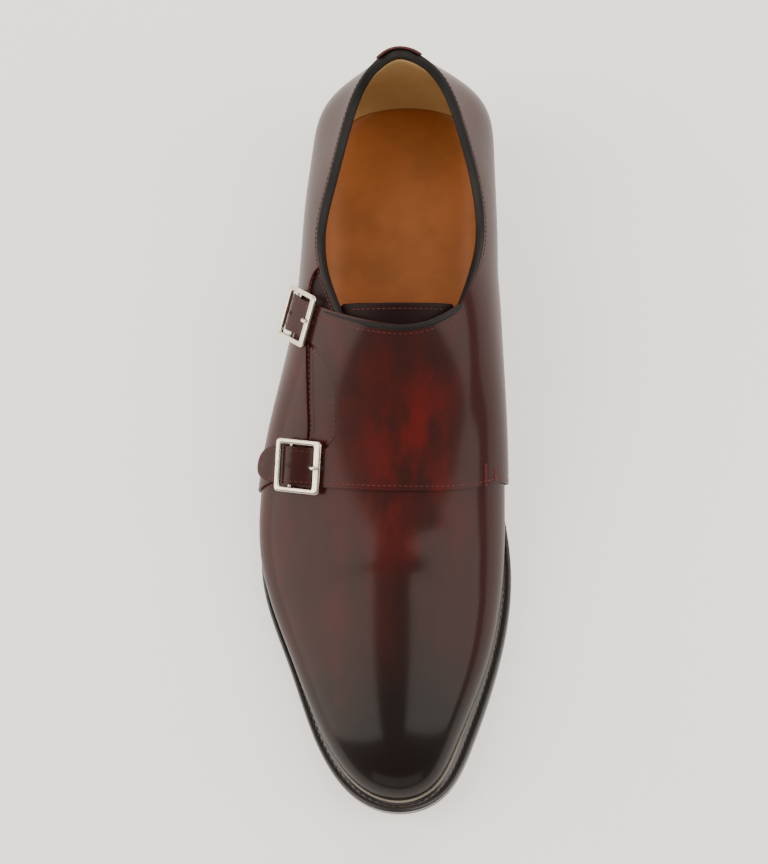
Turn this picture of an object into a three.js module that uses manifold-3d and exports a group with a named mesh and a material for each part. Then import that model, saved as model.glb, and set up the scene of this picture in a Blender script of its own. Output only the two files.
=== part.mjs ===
// Double monk strap shoe for the right foot.
// Toe towards -Y, heel towards +Y, lateral side towards -X, medial side towards +X, ground at z = 0.
// Every length is in millimetres.
import * as THREE from 'three';
import { mergeVertices } from 'three/addons/utils/BufferGeometryUtils.js';
import Module from 'manifold-3d';

const wasm = await Module();
wasm.setup();

// ---------------------------------------------------------------- driving dimensions
const TOE_Y = -147; // front of the feather edge, where upper meets welt
const HEEL_Y = 145; // back of the feather edge
const WALL = 2.2; // leather and lining of the upper
const GAP = 0.3; // air between neighbouring pieces
const OVERLAY_GAP = 0.4; // air under a piece that lies on the curved upper
const OVERLAY = 1.2; // thickness of strap and back strip leather
const OUTSOLE = 5;
const WELT = 3;
const TOP_PIECE = 6; // rubber lift that stands on the ground
const HEEL_BREAST_U = 0.688; // station of the heel's front face
const HEEL_TAPER = 2.5; // the heel's outline draws in by this much down to the ground
const INSOLE_INSET = 2.8; // insole edge, inside the feather edge
const INSOLE_RISE = 1.5; // insole edge, above the feather edge
const INSOLE_DISH = 1.2; // its middle lies lower than its edges
const CREST_OPENS_U = 0.6; // station where the two sides part for the collar
const ANKLE_GAP = 19; // half width between the sides at the crest line, behind that station
const THROAT_U = 0.47; // station where the opening in the upper starts, under the strap panel
const SLIT = 0.3; // half width of the opening where it starts
const CENTRE = [7, 0.4, 0]; // moves the finished shoe so that its box is centred on the origin

// The last in sections, at equal steps of the station u from the toe (0) to the heel (1).
// Each section is a rib over the foot, shaped by four rails: feather edge, belly, shoulder and crest.
// Lat and Med are distances from the centre plane, Z is a height.
const RAILS = ['featherLat', 'featherMed', 'featherZ', 'bellyLat', 'bellyMed', 'bellyZ',
  'shoulderLat', 'shoulderMed', 'shoulderZ', 'crestZ'];
const SECTIONS = [
  [0, 0, 18, 0, 0, 18, 0, 0, 18, 18],
  [16.9, 14.7, 15.8, 19.8, 17.7, 24, 9.6, 9.6, 30, 30],
  [30.8, 24.2, 12.8, 36.6, 29.3, 25, 20.2, 20.4, 36.5, 36.5],
  [43, 34.5, 10, 54, 43, 23, 27, 27, 39, 39],
  [54, 39.5, 8.3, 72, 49, 23, 30, 30, 45, 45],
  [44, 34, 11.5, 75, 54, 30, 33, 33, 61, 61],
  [36, 31, 18.5, 56, 51, 43, 34, 33, 80, 80],
  [33, 30, 25.5, 54, 49, 44, 27, 30, 71, 93],
  [31, 30, 29, 53, 49, 44, 12, 19, 70, 100],
  [22, 22, 30, 46, 45, 46, 3, 8, 72, 104],
  [0, 0, 30, 0, 0, 46, 0, 0, 70, 106],
];
// How far each rail reaches back beyond the feather edge at the heel.
const REACH_BACK = { feather: 0, belly: 7.5, shoulder: 5, crest: -5 };

// The edge of the opening in the upper, as a drop below the crest line, in equal steps from throat to heel.
const OPENING_COLUMNS = ['dropLat', 'dropMed'];
const OPENING = [
  [0, 0], [0.5, 0.8], [8, 9.5], [25, 26.8], [28.3, 32], [27, 27.3], [25, 24], [21, 21], [19, 19],
];

// The strap panel lies over the instep. Its four edges as girth over the foot (lateral side negative) and
// the y of the feather edge on the same rib; front and back run from the medial to the lateral side in equal
// steps, and the scallop is the curved edge between the roots of the two straps, from front to back.
const PANEL_FRONT = [[46, -20], [25, -26], [5, -27.6], [-14, -27], [-32.6, -24.7]];
const PANEL_BACK = [[27, 44], [12, 35], [-3, 33.6], [-18.5, 36.8], [-34, 42.5]];
const SCALLOP = [[-29.7, -10.7], [-25, -6.5], [-24.3, 1], [-24.6, 11], [-27.5, 20], [-34, 28], [-40.3, 31.2]];

// Each strap runs down the lateral side and back, through its buckle. The hinge pin is at the given girth
// and y, the angle is the strap's slant towards the heel, and reach is its length beyond the pin.
const STRAPS = {
  upper: { girth: 49, y: 44, angle: 29, width: 14, reach: 15 },
  lower: { girth: 45, y: -15, angle: 12, width: 15.4, reach: 16 },
};
const STRAP_ROOT = 14; // distance from a strap's root to its hinge pin
const STRAP_LIFT = { root: OVERLAY_GAP, tip: 2.3 }; // air under a strap before and after its buckle
const ALONG_RIBS = 0.93; // change of y per millimetre of leather on the sloping instep
// A strap's underside in its buckle's own x, z plane: under the outer bar, over the hinge pin, under the far
// bar. The steps in x are equal, from BUCKLED.from to BUCKLED.to.
const BUCKLED = { from: -14, to: 8 };
const UNDERSIDE = [-2.8, -2.8, -2.75, -2.45, -1.8, -1.1, -0.55, -0.4, -1.3, -2.7, -3.5, -4.3];

// The buckle frame is a flat plate in its own x, y plane: x runs along the strap from 0 above the hinge pin.
const FRAME = {
  back: 5.6, front: -14.6, halfWidth: 10.8, bar: 3.2, side: 2, far: 2.2, thickness: 1.8, corner: 1.6,
  outerHeight: 3.3, height: 4.5,
};
const PIN = { radius: 0.75, drop: 2.4 };
const EYE = { bore: 1.05, outer: 1.5 }; // leather or metal wrapped round the hinge pin
const TAB = { width: 12, slot: 2.4, tail: 10.5, low: 1, high: 1.7 };
const PRONG = { width: 1.6, thickness: 1.2, tip: -13.4 };

// How far welt and outsole stand out beyond the feather edge, in equal steps from toe to heel.
const EDGE_COLUMNS = ['edgeLat', 'edgeMed'];
const EDGE = [
  [4.6, 4.6], [4.8, 5.6], [4.6, 6.4], [4.6, 6], [4.8, 4.8], [3.4, 2.2], [2, 1.5], [2, 2], [2.6, 2.6],
  [3, 3], [3.4, 3.4],
];

// ---------------------------------------------------------------- smooth curves and the last
// A smooth curve through equally spaced values, a cubic B-spline whose knots are found by relaxation.
// Past each end the values are reflected: 'even' keeps the curve level there, 'odd' lets it run straight on.
function curveThrough(values, start, end) {
  const last = values.length - 1;
  const knots = [...values];
  const knot = (i) => {
    if (i < 0) return start === 'even' ? knots[-i] : 2 * knots[0] - knots[-i];
    if (i > last) return end === 'even' ? knots[2 * last - i] : 2 * knots[last] - knots[2 * last - i];
    return knots[i];
  };
  for (let pass = 0; pass < 50; pass++) {
    values.forEach((value, i) => { knots[i] = (6 * value - knot(i - 1) - knot(i + 1)) / 4; });
  }
  return (t) => {
    const i = Math.min(Math.max(Math.floor(t * last), 0), last - 1);
    const f = t * last - i;
    return ((1 - f) ** 3 * knot(i - 1) + (3 * f ** 3 - 6 * f ** 2 + 4) * knot(i)
      + (3 * f * (1 + f - f * f) + 1) * knot(i + 1) + f ** 3 * knot(i + 2)) / 6;
  };
}

function curvesOf(names, rows, start, end) {
  return Object.fromEntries(names.map((name, c) => {
    const values = rows.map((row) => row[c]);
    return [name, curveThrough(values, start(name), end(name))];
  }));
}

const rail = curvesOf(RAILS, SECTIONS, (n) => (n === 'featherZ' ? 'even' : 'odd'),
  (n) => (n.endsWith('Z') ? 'even' : 'odd'));
const opening = curvesOf(OPENING_COLUMNS, OPENING, () => 'odd', () => 'even');
const edge = curvesOf(EDGE_COLUMNS, EDGE, () => 'even', () => 'even');

const lerp = THREE.MathUtils.lerp;
const smooth = (t) => THREE.MathUtils.smootherstep(t, 0, 1);
const SIDES = { Lat: -1, Med: 1 };
const steps = (n, from = 0, to = 1) => Array.from({ length: n + 1 }, (_, i) => lerp(from, to, i / n));

function stationY(u, reach = 0) {
  return TOE_Y + (HEEL_Y - TOE_Y) * (1 - Math.cos(Math.PI * u)) / 2 + reach * smooth((u - 0.6) / 0.4);
}

function stationU(y) {
  return Math.acos(1 - 2 * (y - TOE_Y) / (HEEL_Y - TOE_Y)) / Math.PI;
}

function crestHalfGap(u) {
  return ANKLE_GAP * smooth((u - CREST_OPENS_U) / 0.25) * Math.sin(Math.PI / 2 * Math.min(1, (1 - u) / 0.3));
}

// A point of the last: v runs up the rib from the feather edge (0) to the crest line (1).
function lastPoint(side, u, v) {
  const ends = ['feather', 'belly', 'shoulder', 'crest'].map((name) => new THREE.Vector3(
    SIDES[side] * (name === 'crest' ? crestHalfGap(u) : rail[name + side](u)),
    stationY(u, REACH_BACK[name]),
    rail[name + 'Z'](u),
  ));
  return new THREE.CubicBezierCurve3(...ends).getPoint(v);
}

// The outward normal of the last. The tip of the toe faces straight ahead.
function lastNormal(side, u, v) {
  if (u < 0.002) return new THREE.Vector3(0, -1, 0);
  const h = 0.001;
  const uu = Math.min(u, 1 - h);
  const vv = THREE.MathUtils.clamp(v, h, 1 - h);
  const along = lastPoint(side, uu + h, vv).sub(lastPoint(side, uu - h, vv));
  const up = lastPoint(side, uu, vv + h).sub(lastPoint(side, uu, vv - h));
  const normal = along.cross(up).multiplyScalar(SIDES[side]).normalize();
  if (u > 1 - h || (v > 1 - h && crestHalfGap(u) === 0)) normal.setX(0).normalize();
  return normal;
}

function skin(side, u, v, offset) {
  return lastPoint(side, u, v).addScaledVector(lastNormal(side, u, v), offset);
}

// The place on a rib at a given girth, the length of leather from the crest line down.
// Girth is negative on the lateral side and positive on the medial side.
function atGirth(girth, y, offset) {
  const side = girth < 0 ? 'Lat' : 'Med';
  const u = stationU(y);
  const parts = 60;
  let length = 0;
  let above = lastPoint(side, u, 1);
  for (let k = 1; k <= parts; k++) {
    const here = lastPoint(side, u, 1 - k / parts);
    const piece = here.distanceTo(above);
    if (length + piece >= Math.abs(girth)) {
      return skin(side, u, 1 - (k - 1 + (Math.abs(girth) - length) / piece) / parts, offset);
    }
    length += piece;
    above = here;
  }
  return skin(side, u, 0, offset);
}

// ---------------------------------------------------------------- closed solids from grids of points
// Triangles between corner points become one closed body. Corners in the same place are merged,
// and triangles without area are dropped.
function solidOf(triangles) {
  const loose = new THREE.BufferGeometry().setFromPoints(triangles.flat());
  const welded = mergeVertices(loose, 1e-3);
  const index = [];
  for (let k = 0; k < welded.index.count; k += 3) {
    const [a, b, c] = [0, 1, 2].map((i) => welded.index.getX(k + i));
    if (a !== b && b !== c && c !== a) index.push(a, b, c);
  }
  welded.setIndex(index);
  return welded;
}

// A sheet with a thickness, from two grids of points with the same rows and columns.
// filled(i, j) says which cells hold leather; joined says that the first and last row meet.
function slab(outer, inner, { filled = () => true, joined = false } = {}) {
  const rows = outer.length - 1;
  const columns = outer[0].length - 1;
  const triangles = [];
  const quad = (a, b, c, d) => triangles.push([a, b, c], [a, c, d]);
  const holds = (i, j) => i >= 0 && j >= 0 && i < rows && j < columns && filled(i, j);
  for (let i = 0; i < rows; i++) {
    for (let j = 0; j < columns; j++) {
      if (!holds(i, j)) continue;
      quad(outer[i][j], outer[i + 1][j], outer[i + 1][j + 1], outer[i][j + 1]);
      quad(inner[i][j], inner[i][j + 1], inner[i + 1][j + 1], inner[i + 1][j]);
      const wall = ([a, b], [c, d]) => quad(outer[a][b], outer[c][d], inner[c][d], inner[a][b]);
      if (!holds(i, j - 1)) wall([i + 1, j], [i, j]);
      if (!holds(i, j + 1)) wall([i, j + 1], [i + 1, j + 1]);
      if (!holds(i - 1, j) && !(joined && i === 0)) wall([i, j], [i, j + 1]);
      if (!holds(i + 1, j) && !(joined && i === rows - 1)) wall([i + 1, j + 1], [i + 1, j]);
    }
  }
  const volume = triangles.reduce((sum, [a, b, c]) => sum + a.dot(b.clone().cross(c)), 0);
  return solidOf(volume > 0 ? triangles : triangles.map(([a, b, c]) => [a, c, b]));
}

const gridOf = (rowValues, columnValues, point) => rowValues.map((r) => columnValues.map((c) => point(r, c)));

function manifoldOf(geometry) {
  const bare = new THREE.BufferGeometry();
  bare.setAttribute('position', geometry.getAttribute('position').clone());
  if (geometry.index) bare.setIndex(geometry.index);
  const merged = mergeVertices(bare, 1e-4);
  return new wasm.Manifold(new wasm.Mesh({
    numProp: 3,
    vertProperties: new Float32Array(merged.getAttribute('position').array),
    triVerts: new Uint32Array(merged.index.array),
  }));
}

function geometryOf(manifold) {
  const mesh = manifold.getMesh();
  const geometry = new THREE.BufferGeometry();
  geometry.setAttribute('position', new THREE.BufferAttribute(mesh.vertProperties, 3));
  geometry.setIndex(new THREE.BufferAttribute(mesh.triVerts, 1));
  return geometry;
}

// ---------------------------------------------------------------- upper and tongue
// The height up the rib, as v, where the opening cuts it.
function openingV(side, u) {
  if (u <= THROAT_U) return 1;
  const drop = Math.max(SLIT, opening['drop' + side]((u - THROAT_U) / (1 - THROAT_U)));
  const height = rail.crestZ(u) - drop;
  let [low, high] = [0, 1];
  for (let k = 0; k < 30; k++) {
    const middle = (low + high) / 2;
    if (lastPoint(side, u, middle).z < height) low = middle;
    else high = middle;
  }
  return low;
}

function makeUpper() {
  const closed = steps(15, 0, THROAT_U);
  const open = [0.006, 0.02, ...steps(16, 0.045, 1 - THROAT_U)].map((t) => THROAT_U + t);
  const stations = [...closed, ...open];
  const RIB_PARTS = 9;
  const up = steps(RIB_PARTS);
  const layer = (offset) => stations.map((u) => [
    ...up.map((t) => skin('Lat', u, t * openingV('Lat', u), offset)),
    ...up.map((t) => skin('Med', u, (1 - t) * openingV('Med', u), offset)),
  ]);
  const filled = (i, j) => j !== RIB_PARTS || stations[i + 1] <= THROAT_U;
  return slab(layer(0), layer(-WALL), { filled, joined: true });
}

function makeTongue() {
  const OUTER = -(WALL + 0.9);
  const THICKNESS = 1.6;
  const CORNER = 7; // the top corners are rounded off by this much
  const stations = [...steps(7, -24, 38), 40.5, 42.5, 43.5];
  const rounding = (y) => CORNER * (1 - Math.sqrt(1 - Math.max(0, (y - 37) / 6.6) ** 2));
  const halfWidth = (y) => lerp(23, 27, (y + 24) / 67.5) - rounding(y);
  const across = steps(10, -1, 1);
  const layer = (offset) => gridOf(stations, across, (y, t) => atGirth(t * halfWidth(y), y, offset));
  return slab(layer(OUTER), layer(OUTER - THICKNESS));
}

// ---------------------------------------------------------------- bottom: insole, welt, outsole, heel
// A point on the feather edge moved outwards in plan by a distance, at a given height.
function planPoint(side, u, out, z) {
  const h = 0.001;
  const at = (w) => new THREE.Vector2(SIDES[side] * rail['feather' + side](w), stationY(w));
  const along = at(Math.min(u + h, 1)).sub(at(Math.max(u - h, 0)));
  const normal = u === 0 || u === 1
    ? new THREE.Vector2(0, u === 0 ? -1 : 1)
    : new THREE.Vector2(along.y, -along.x).multiplyScalar(SIDES[side]).normalize();
  const place = at(u).addScaledVector(normal, out);
  return new THREE.Vector3(place.x, place.y, z);
}

const weltTop = (u) => rail.featherZ(u) - GAP;
const outsoleTop = (u) => weltTop(u) - WELT - GAP;
const outsoleBottom = (u) => Math.max(0, outsoleTop(u) - OUTSOLE);

// A flat piece across the foot: each row runs from the lateral to the medial outline.
function acrossFoot(stations, columns, out, height) {
  return stations.map((u) => {
    const [lat, med] = ['Lat', 'Med'].map((side) => planPoint(side, u, out(side, u), 0));
    return columns.map((t) => lat.clone().lerp(med, t).setZ(height(u, t)));
  });
}

const soleEdge = (side, u) => edge['edge' + side](u);
const SOLE_STATIONS = steps(34);

function makeOutsole() {
  const layer = (height) => acrossFoot(SOLE_STATIONS, steps(3), soleEdge, height);
  return slab(layer(outsoleTop), layer(outsoleBottom));
}

function makeWelt() {
  const round = [
    ...SOLE_STATIONS.map((u) => ['Lat', u]),
    ...SOLE_STATIONS.toReversed().map((u) => ['Med', u]),
  ];
  const layer = (height) => round.map(([side, u]) => [-WALL, soleEdge(side, u)].map(
    (out) => planPoint(side, u, out, height(u)),
  ));
  return slab(layer(weltTop), layer((u) => weltTop(u) - WELT), { joined: true });
}

function makeInsole() {
  const across = steps(6);
  const dish = (u, t) => INSOLE_DISH * (1 - (2 * t - 1) ** 2) * Math.sin(Math.PI * u);
  const layer = (height) => acrossFoot(SOLE_STATIONS, across, () => -INSOLE_INSET, height);
  const top = (u, t) => rail.featherZ(u) + INSOLE_RISE - dish(u, t);
  return slab(layer(top), layer((u) => outsoleTop(u) + GAP));
}

// One slice of the heel between two heights. Its front face is hollowed a little.
function heelSlice(top, bottom, topTaper, bottomTaper) {
  const HOLLOW = 3;
  const stations = steps(12, HEEL_BREAST_U, 1);
  const across = steps(6);
  const layer = (height, taper) => {
    const grid = acrossFoot(stations, across, (side, u) => soleEdge(side, u) - taper, height);
    grid[0].forEach((p, j) => p.setY(p.y + HOLLOW * (1 - (2 * across[j] - 1) ** 2) + taper));
    return grid;
  };
  return slab(layer(top, topTaper), layer(bottom, bottomTaper));
}

function makeHeelStack() {
  return heelSlice((u) => outsoleBottom(u) - GAP, () => TOP_PIECE + GAP, 0, HEEL_TAPER * 0.7);
}

function makeTopPiece() {
  return heelSlice(() => TOP_PIECE, () => 0, HEEL_TAPER * 0.7, HEEL_TAPER);
}

// ---------------------------------------------------------------- strap panel
// A smooth curve through equally spaced points given as [girth, y].
function edgeThrough(points) {
  const [girth, y] = [0, 1].map((c) => curveThrough(points.map((p) => p[c]), 'odd', 'odd'));
  return (t) => new THREE.Vector2(girth(t), y(t));
}

// Girth and y of a place on a strap: a runs along it from the hinge pin, b across it towards the heel.
function strapPlace({ girth, y, angle }, a, b) {
  const [c, s] = [Math.cos, Math.sin].map((f) => f(THREE.MathUtils.degToRad(angle)));
  return new THREE.Vector2(-(girth + a * c - b * s), y + (a * s + b * c) * ALONG_RIBS);
}

const onStrap = (strap, a, b, height) => {
  const place = strapPlace(strap, a, b);
  return atGirth(place.x, place.y, height);
};

const underside = curveThrough(UNDERSIDE, 'odd', 'odd');

// A place on a strap, which leaves the upper for its buckle and comes back to it behind.
function strapPoint(strap, a, b, thickness) {
  const lift = lerp(STRAP_LIFT.root, STRAP_LIFT.tip, smooth((a + 3) / 6));
  const z = underside((a - BUCKLED.from) / (BUCKLED.to - BUCKLED.from));
  const buckled = new THREE.Vector3(a, -b, z + thickness).applyMatrix4(frameMatrix(strap));
  const share = smooth((a + 13) / 4) * (1 - smooth((a - 4.5) / 6));
  return onStrap(strap, a, b, lift + thickness).lerp(buckled, share);
}

// Panel and straps are one grid. Its rows run from the medial edge over the foot; its columns run from front
// to back, in three blocks: lower strap, scallop and upper strap. The scallop's block ends with the panel.
function makeStrapPanel() {
  const BODY_ROWS = 14;
  const CELLS = { lower: 4, scallop: 6, upper: 4 };
  const [front, back, scallop] = [PANEL_FRONT, PANEL_BACK, SCALLOP].map(edgeThrough);
  const columns = [
    ...steps(CELLS.lower).map((t) => ({ strap: STRAPS.lower, t })),
    ...steps(CELLS.scallop).slice(1, -1).map((t) => ({ t })),
    ...steps(CELLS.upper).map((t) => ({ strap: STRAPS.upper, t })),
  ];
  const across = ({ strap, t }) => strap.width * (t - 0.5);
  const root = (column) => (column.strap
    ? strapPlace(column.strap, -STRAP_ROOT, across(column)) : scallop(column.t));
  const roots = columns.map(root);
  const share = roots.map((p) => (p.y - roots[0].y) / (roots.at(-1).y - roots[0].y));
  // blends the panel's four edges into its inside
  const inside = (t, j) => {
    const w = share[j];
    const [f, b] = [front(t), back(t)];
    const [m0, m1, r0, r1] = [front(0), back(0), front(1), back(1)];
    const between = f.clone().lerp(b, w);
    const edges = m0.clone().lerp(m1, w).lerp(roots[j], t);
    const corners = m0.clone().lerp(m1, w).lerp(r0.clone().lerp(r1, w), t);
    return between.add(edges).sub(corners);
  };
  // rows square to the strap as far as its buckle, then rows that round off its tip
  const TIP_STARTS = 6;
  const tip = (column) => {
    const r = column.strap.width / 2;
    return column.strap.reach - r * (1 - Math.sqrt(1 - Math.min(1, Math.abs(across(column)) / r) ** 2));
  };
  const strapRows = [
    ...steps(10, -STRAP_ROOT, TIP_STARTS).slice(1).map((a) => () => a),
    ...steps(4).slice(1).map((s) => (column) => lerp(TIP_STARTS, tip(column), s)),
  ];
  const layer = (thickness) => {
    const body = steps(BODY_ROWS).map((t) => columns.map((column, j) => {
      const place = inside(t, j);
      return atGirth(place.x, place.y, OVERLAY_GAP + thickness);
    }));
    const straps = strapRows.map((along) => columns.map((column, j) => {
      if (!column.strap) return body[BODY_ROWS][j];
      return strapPoint(column.strap, along(column), across(column), thickness);
    }));
    return [...body, ...straps];
  };
  const onScallop = (j) => j >= CELLS.lower && j < CELLS.lower + CELLS.scallop;
  const panel = slab(layer(OVERLAY), layer(0), { filled: (i, j) => i < BODY_ROWS || !onScallop(j) });
  return cut(panel, Object.values(STRAPS).map(prongHole));
}

// ---------------------------------------------------------------- buckles
// The frame's own axes on the last: x along the strap, z away from the foot, origin above the hinge pin.
function frameMatrix(strap) {
  const origin = onStrap(strap, 0, 0, FRAME.height);
  const x = origin.clone().sub(onStrap(strap, FRAME.front + FRAME.bar / 2, 0, FRAME.outerHeight)).normalize();
  const outward = onStrap(strap, -6, 0, 9).sub(onStrap(strap, -6, 0, 0));
  const y = outward.cross(x).normalize();
  return new THREE.Matrix4().makeBasis(x, y, x.clone().cross(y)).setPosition(origin);
}

function cut(geometry, tools) {
  return geometryOf(tools.reduce((body, tool) => body.subtract(manifoldOf(tool)), manifoldOf(geometry)));
}

function roundedRectangle(shape, x0, y0, x1, y1, r) {
  shape.moveTo(x0 + r, y0).lineTo(x1 - r, y0).absarc(x1 - r, y0 + r, r, -Math.PI / 2, 0);
  shape.lineTo(x1, y1 - r).absarc(x1 - r, y1 - r, r, 0, Math.PI / 2);
  shape.lineTo(x0 + r, y1).absarc(x0 + r, y1 - r, r, Math.PI / 2, Math.PI);
  shape.lineTo(x0, y0 + r).absarc(x0 + r, y0 + r, r, Math.PI, Math.PI * 1.5);
  return shape;
}

// Frame plate, and the hinge pin pressed through the lugs below its sides.
function makeFrame() {
  const { front, back, halfWidth, bar, side, far, thickness, corner } = FRAME;
  const plate = roundedRectangle(new THREE.Shape(), front, -halfWidth, back, halfWidth, corner);
  plate.holes.push(roundedRectangle(new THREE.Path(), front + bar, side - halfWidth, back - far,
    halfWidth - side, corner * 0.7));
  const flat = new THREE.ExtrudeGeometry(plate, { depth: thickness, bevelEnabled: false, curveSegments: 4 });
  flat.translate(0, 0, -thickness / 2);
  const pin = new THREE.CylinderGeometry(PIN.radius, PIN.radius, halfWidth * 2 - 0.4, 12);
  const lugs = [-1, 1].map((end) => new THREE.BoxGeometry(3, side - 0.4, PIN.drop + 0.6)
    .translate(0, end * (halfWidth - side / 2), -(PIN.drop + 0.6) / 2));
  const pieces = [pin.translate(0, 0, -PIN.drop), ...lugs];
  return geometryOf(pieces.reduce((body, piece) => body.add(manifoldOf(piece)), manifoldOf(flat)));
}

// A profile in the frame's x, z plane, made as wide as given across the strap.
function acrossStrap(shape, width) {
  const geometry = new THREE.ExtrudeGeometry(shape, { depth: width, bevelEnabled: false, curveSegments: 5 });
  return geometry.rotateX(Math.PI / 2).translate(0, width / 2, 0);
}

function eyeHole() {
  return new THREE.Path().absarc(0, -PIN.drop, EYE.bore, 0, Math.PI * 2);
}

// The prong's eye goes round the pin and its tongue rests on the outer bar.
function makeProng() {
  const { tip, thickness } = PRONG;
  const rest = FRAME.thickness / 2 + GAP;
  const shape = new THREE.Shape();
  shape.absarc(0, -PIN.drop, EYE.outer, -Math.PI * 1.05, Math.PI * 0.72);
  shape.lineTo(FRAME.front + FRAME.bar, rest + thickness).lineTo(tip, rest + thickness * 0.8);
  shape.lineTo(tip, rest).lineTo(FRAME.front + FRAME.bar, rest);
  shape.holes.push(eyeHole());
  return acrossStrap(shape, PRONG.width);
}

// The slot in a strap that its prong passes through, in the strap's place on the last.
function prongHole(strap) {
  const slot = new THREE.BoxGeometry(6, PRONG.width + 2 * GAP, 6).translate(-3.5, 0, 0);
  return slot.applyMatrix4(frameMatrix(strap));
}

// A leather tab folded round the pin, with a slot for the prong's eye and a tail stitched to the quarter.
function makeTab(strap) {
  const toFrame = frameMatrix(strap).invert();
  const tail = (height) => [3.5, 6, TAB.tail].map((a) => onStrap(strap, a, 0, height).applyMatrix4(toFrame));
  const shape = new THREE.Shape();
  shape.absarc(0, -PIN.drop, EYE.outer, -Math.PI * 0.05, Math.PI * 1.5);
  tail(TAB.low).forEach((p) => shape.lineTo(p.x, p.z));
  tail(TAB.high).reverse().forEach((p) => shape.lineTo(p.x, p.z));
  shape.holes.push(eyeHole());
  const slot = new THREE.BoxGeometry(5.2, TAB.slot, 8).translate(0, 0, -PIN.drop);
  return cut(acrossStrap(shape, TAB.width), [slot]);
}

// ---------------------------------------------------------------- back strip
// A strip over the back seam that stands a little above the collar.
function makeBackStrip() {
  const [LOW, HIGH, TOP_HALF, BOTTOM_HALF] = [44, 88.2, 8, 5.5];
  const up = steps(8);
  const vAt = (side, u, height) => {
    let [low, high] = [0, 1];
    for (let k = 0; k < 24; k++) {
      const middle = (low + high) / 2;
      if (lastPoint(side, u, middle).z < height) low = middle;
      else high = middle;
    }
    return low;
  };
  // the station where the strip's half width is reached, at a given height
  const reach = (side, height, half) => {
    let [low, high] = [0.8, 1];
    for (let k = 0; k < 24; k++) {
      const middle = (low + high) / 2;
      if (Math.abs(lastPoint(side, middle, vAt(side, middle, height)).x) > half) low = middle;
      else high = middle;
    }
    return low;
  };
  const layer = (offset) => up.map((t) => {
    const height = lerp(LOW, HIGH, t);
    const half = lerp(BOTTOM_HALF, TOP_HALF, t);
    return steps(6, -1, 1).map((w) => {
      const side = w < 0 ? 'Lat' : 'Med';
      const u = w === 0 ? 1 : reach(side, height, Math.abs(w) * half);
      return skin(side, u, vAt(side, u, height), offset);
    });
  });
  return slab(layer(OVERLAY_GAP + 1.1), layer(OVERLAY_GAP));
}

// ---------------------------------------------------------------- assembly
const FINISHES = {
  burgundyLeather: { color: 0x5a1f1e, roughness: 0.25, metalness: 0 },
  darkLeather: { color: 0x2a1412, roughness: 0.4, metalness: 0 },
  tanLeather: { color: 0xa8642a, roughness: 0.55, metalness: 0 },
  edgeLeather: { color: 0x201614, roughness: 0.45, metalness: 0 },
  rubber: { color: 0x151414, roughness: 0.8, metalness: 0 },
  nickel: { color: 0xcfc8c0, roughness: 0.22, metalness: 1 },
};

const shoe = new THREE.Group();
shoe.position.set(...CENTRE);

function add(name, geometry, finish) {
  const mesh = new THREE.Mesh(geometry, new THREE.MeshStandardMaterial(FINISHES[finish]));
  mesh.name = name;
  shoe.add(mesh);
  return mesh;
}

add('outsole', makeOutsole(), 'edgeLeather');
add('welt', makeWelt(), 'edgeLeather');
add('heel_stack', makeHeelStack(), 'edgeLeather');
add('heel_top_piece', makeTopPiece(), 'rubber');
add('insole', makeInsole(), 'tanLeather');
add('upper', makeUpper(), 'burgundyLeather');
add('tongue', makeTongue(), 'darkLeather');
add('strap_panel', makeStrapPanel(), 'burgundyLeather');
add('back_strip', makeBackStrip(), 'burgundyLeather');
for (const [name, strap] of Object.entries(STRAPS)) {
  const buckle = [
    add(`buckle_frame_${name}`, makeFrame(), 'nickel'),
    add(`buckle_prong_${name}`, makeProng(), 'nickel'),
    add(`buckle_tab_${name}`, makeTab(strap), 'darkLeather'),
  ];
  for (const piece of buckle) {
    frameMatrix(strap).decompose(piece.position, piece.quaternion, piece.scale);
  }
}

export default shoe;
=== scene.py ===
# %% [markdown]
# # A double monk strap shoe for the right foot
# The real shoe is made over a last, a solid foot shape. Leather is pulled over it, stitched to a welt, and
# a sole and a heel are built up below. This lesson follows the same order: first the last as a function,
# then every leather piece laid on it, then the bottom, the buckles, the stitches and the finishes.

# %% Load the fixed frame
import math

import bpy
import numpy as np
from mathutils import Matrix, Vector


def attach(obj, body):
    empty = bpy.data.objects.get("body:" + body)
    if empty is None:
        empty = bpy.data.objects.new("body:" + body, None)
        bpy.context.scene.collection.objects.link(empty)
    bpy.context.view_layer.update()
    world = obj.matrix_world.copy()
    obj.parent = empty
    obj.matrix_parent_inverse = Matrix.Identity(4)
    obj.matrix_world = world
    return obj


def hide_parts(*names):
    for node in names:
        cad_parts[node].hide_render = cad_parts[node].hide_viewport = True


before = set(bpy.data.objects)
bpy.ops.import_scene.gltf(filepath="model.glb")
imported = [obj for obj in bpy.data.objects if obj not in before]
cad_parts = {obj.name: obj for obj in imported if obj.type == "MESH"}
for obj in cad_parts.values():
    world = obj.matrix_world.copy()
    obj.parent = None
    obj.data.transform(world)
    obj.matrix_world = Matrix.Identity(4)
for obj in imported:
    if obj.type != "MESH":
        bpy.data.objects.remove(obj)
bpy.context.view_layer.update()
print("the frame holds", len(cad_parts), "pieces")

# %% [markdown]
# ## The last
# The last is a family of ribs. A rib starts at the feather edge, where upper and welt meet, and runs over
# the foot to the crest line. Four rails steer all the ribs: feather, belly, shoulder and crest. Each rail is
# a smooth curve through a few numbers, so the table below is the whole foot. Lengths here are millimetres,
# and one function at the end turns them into Blender's metres.

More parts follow.
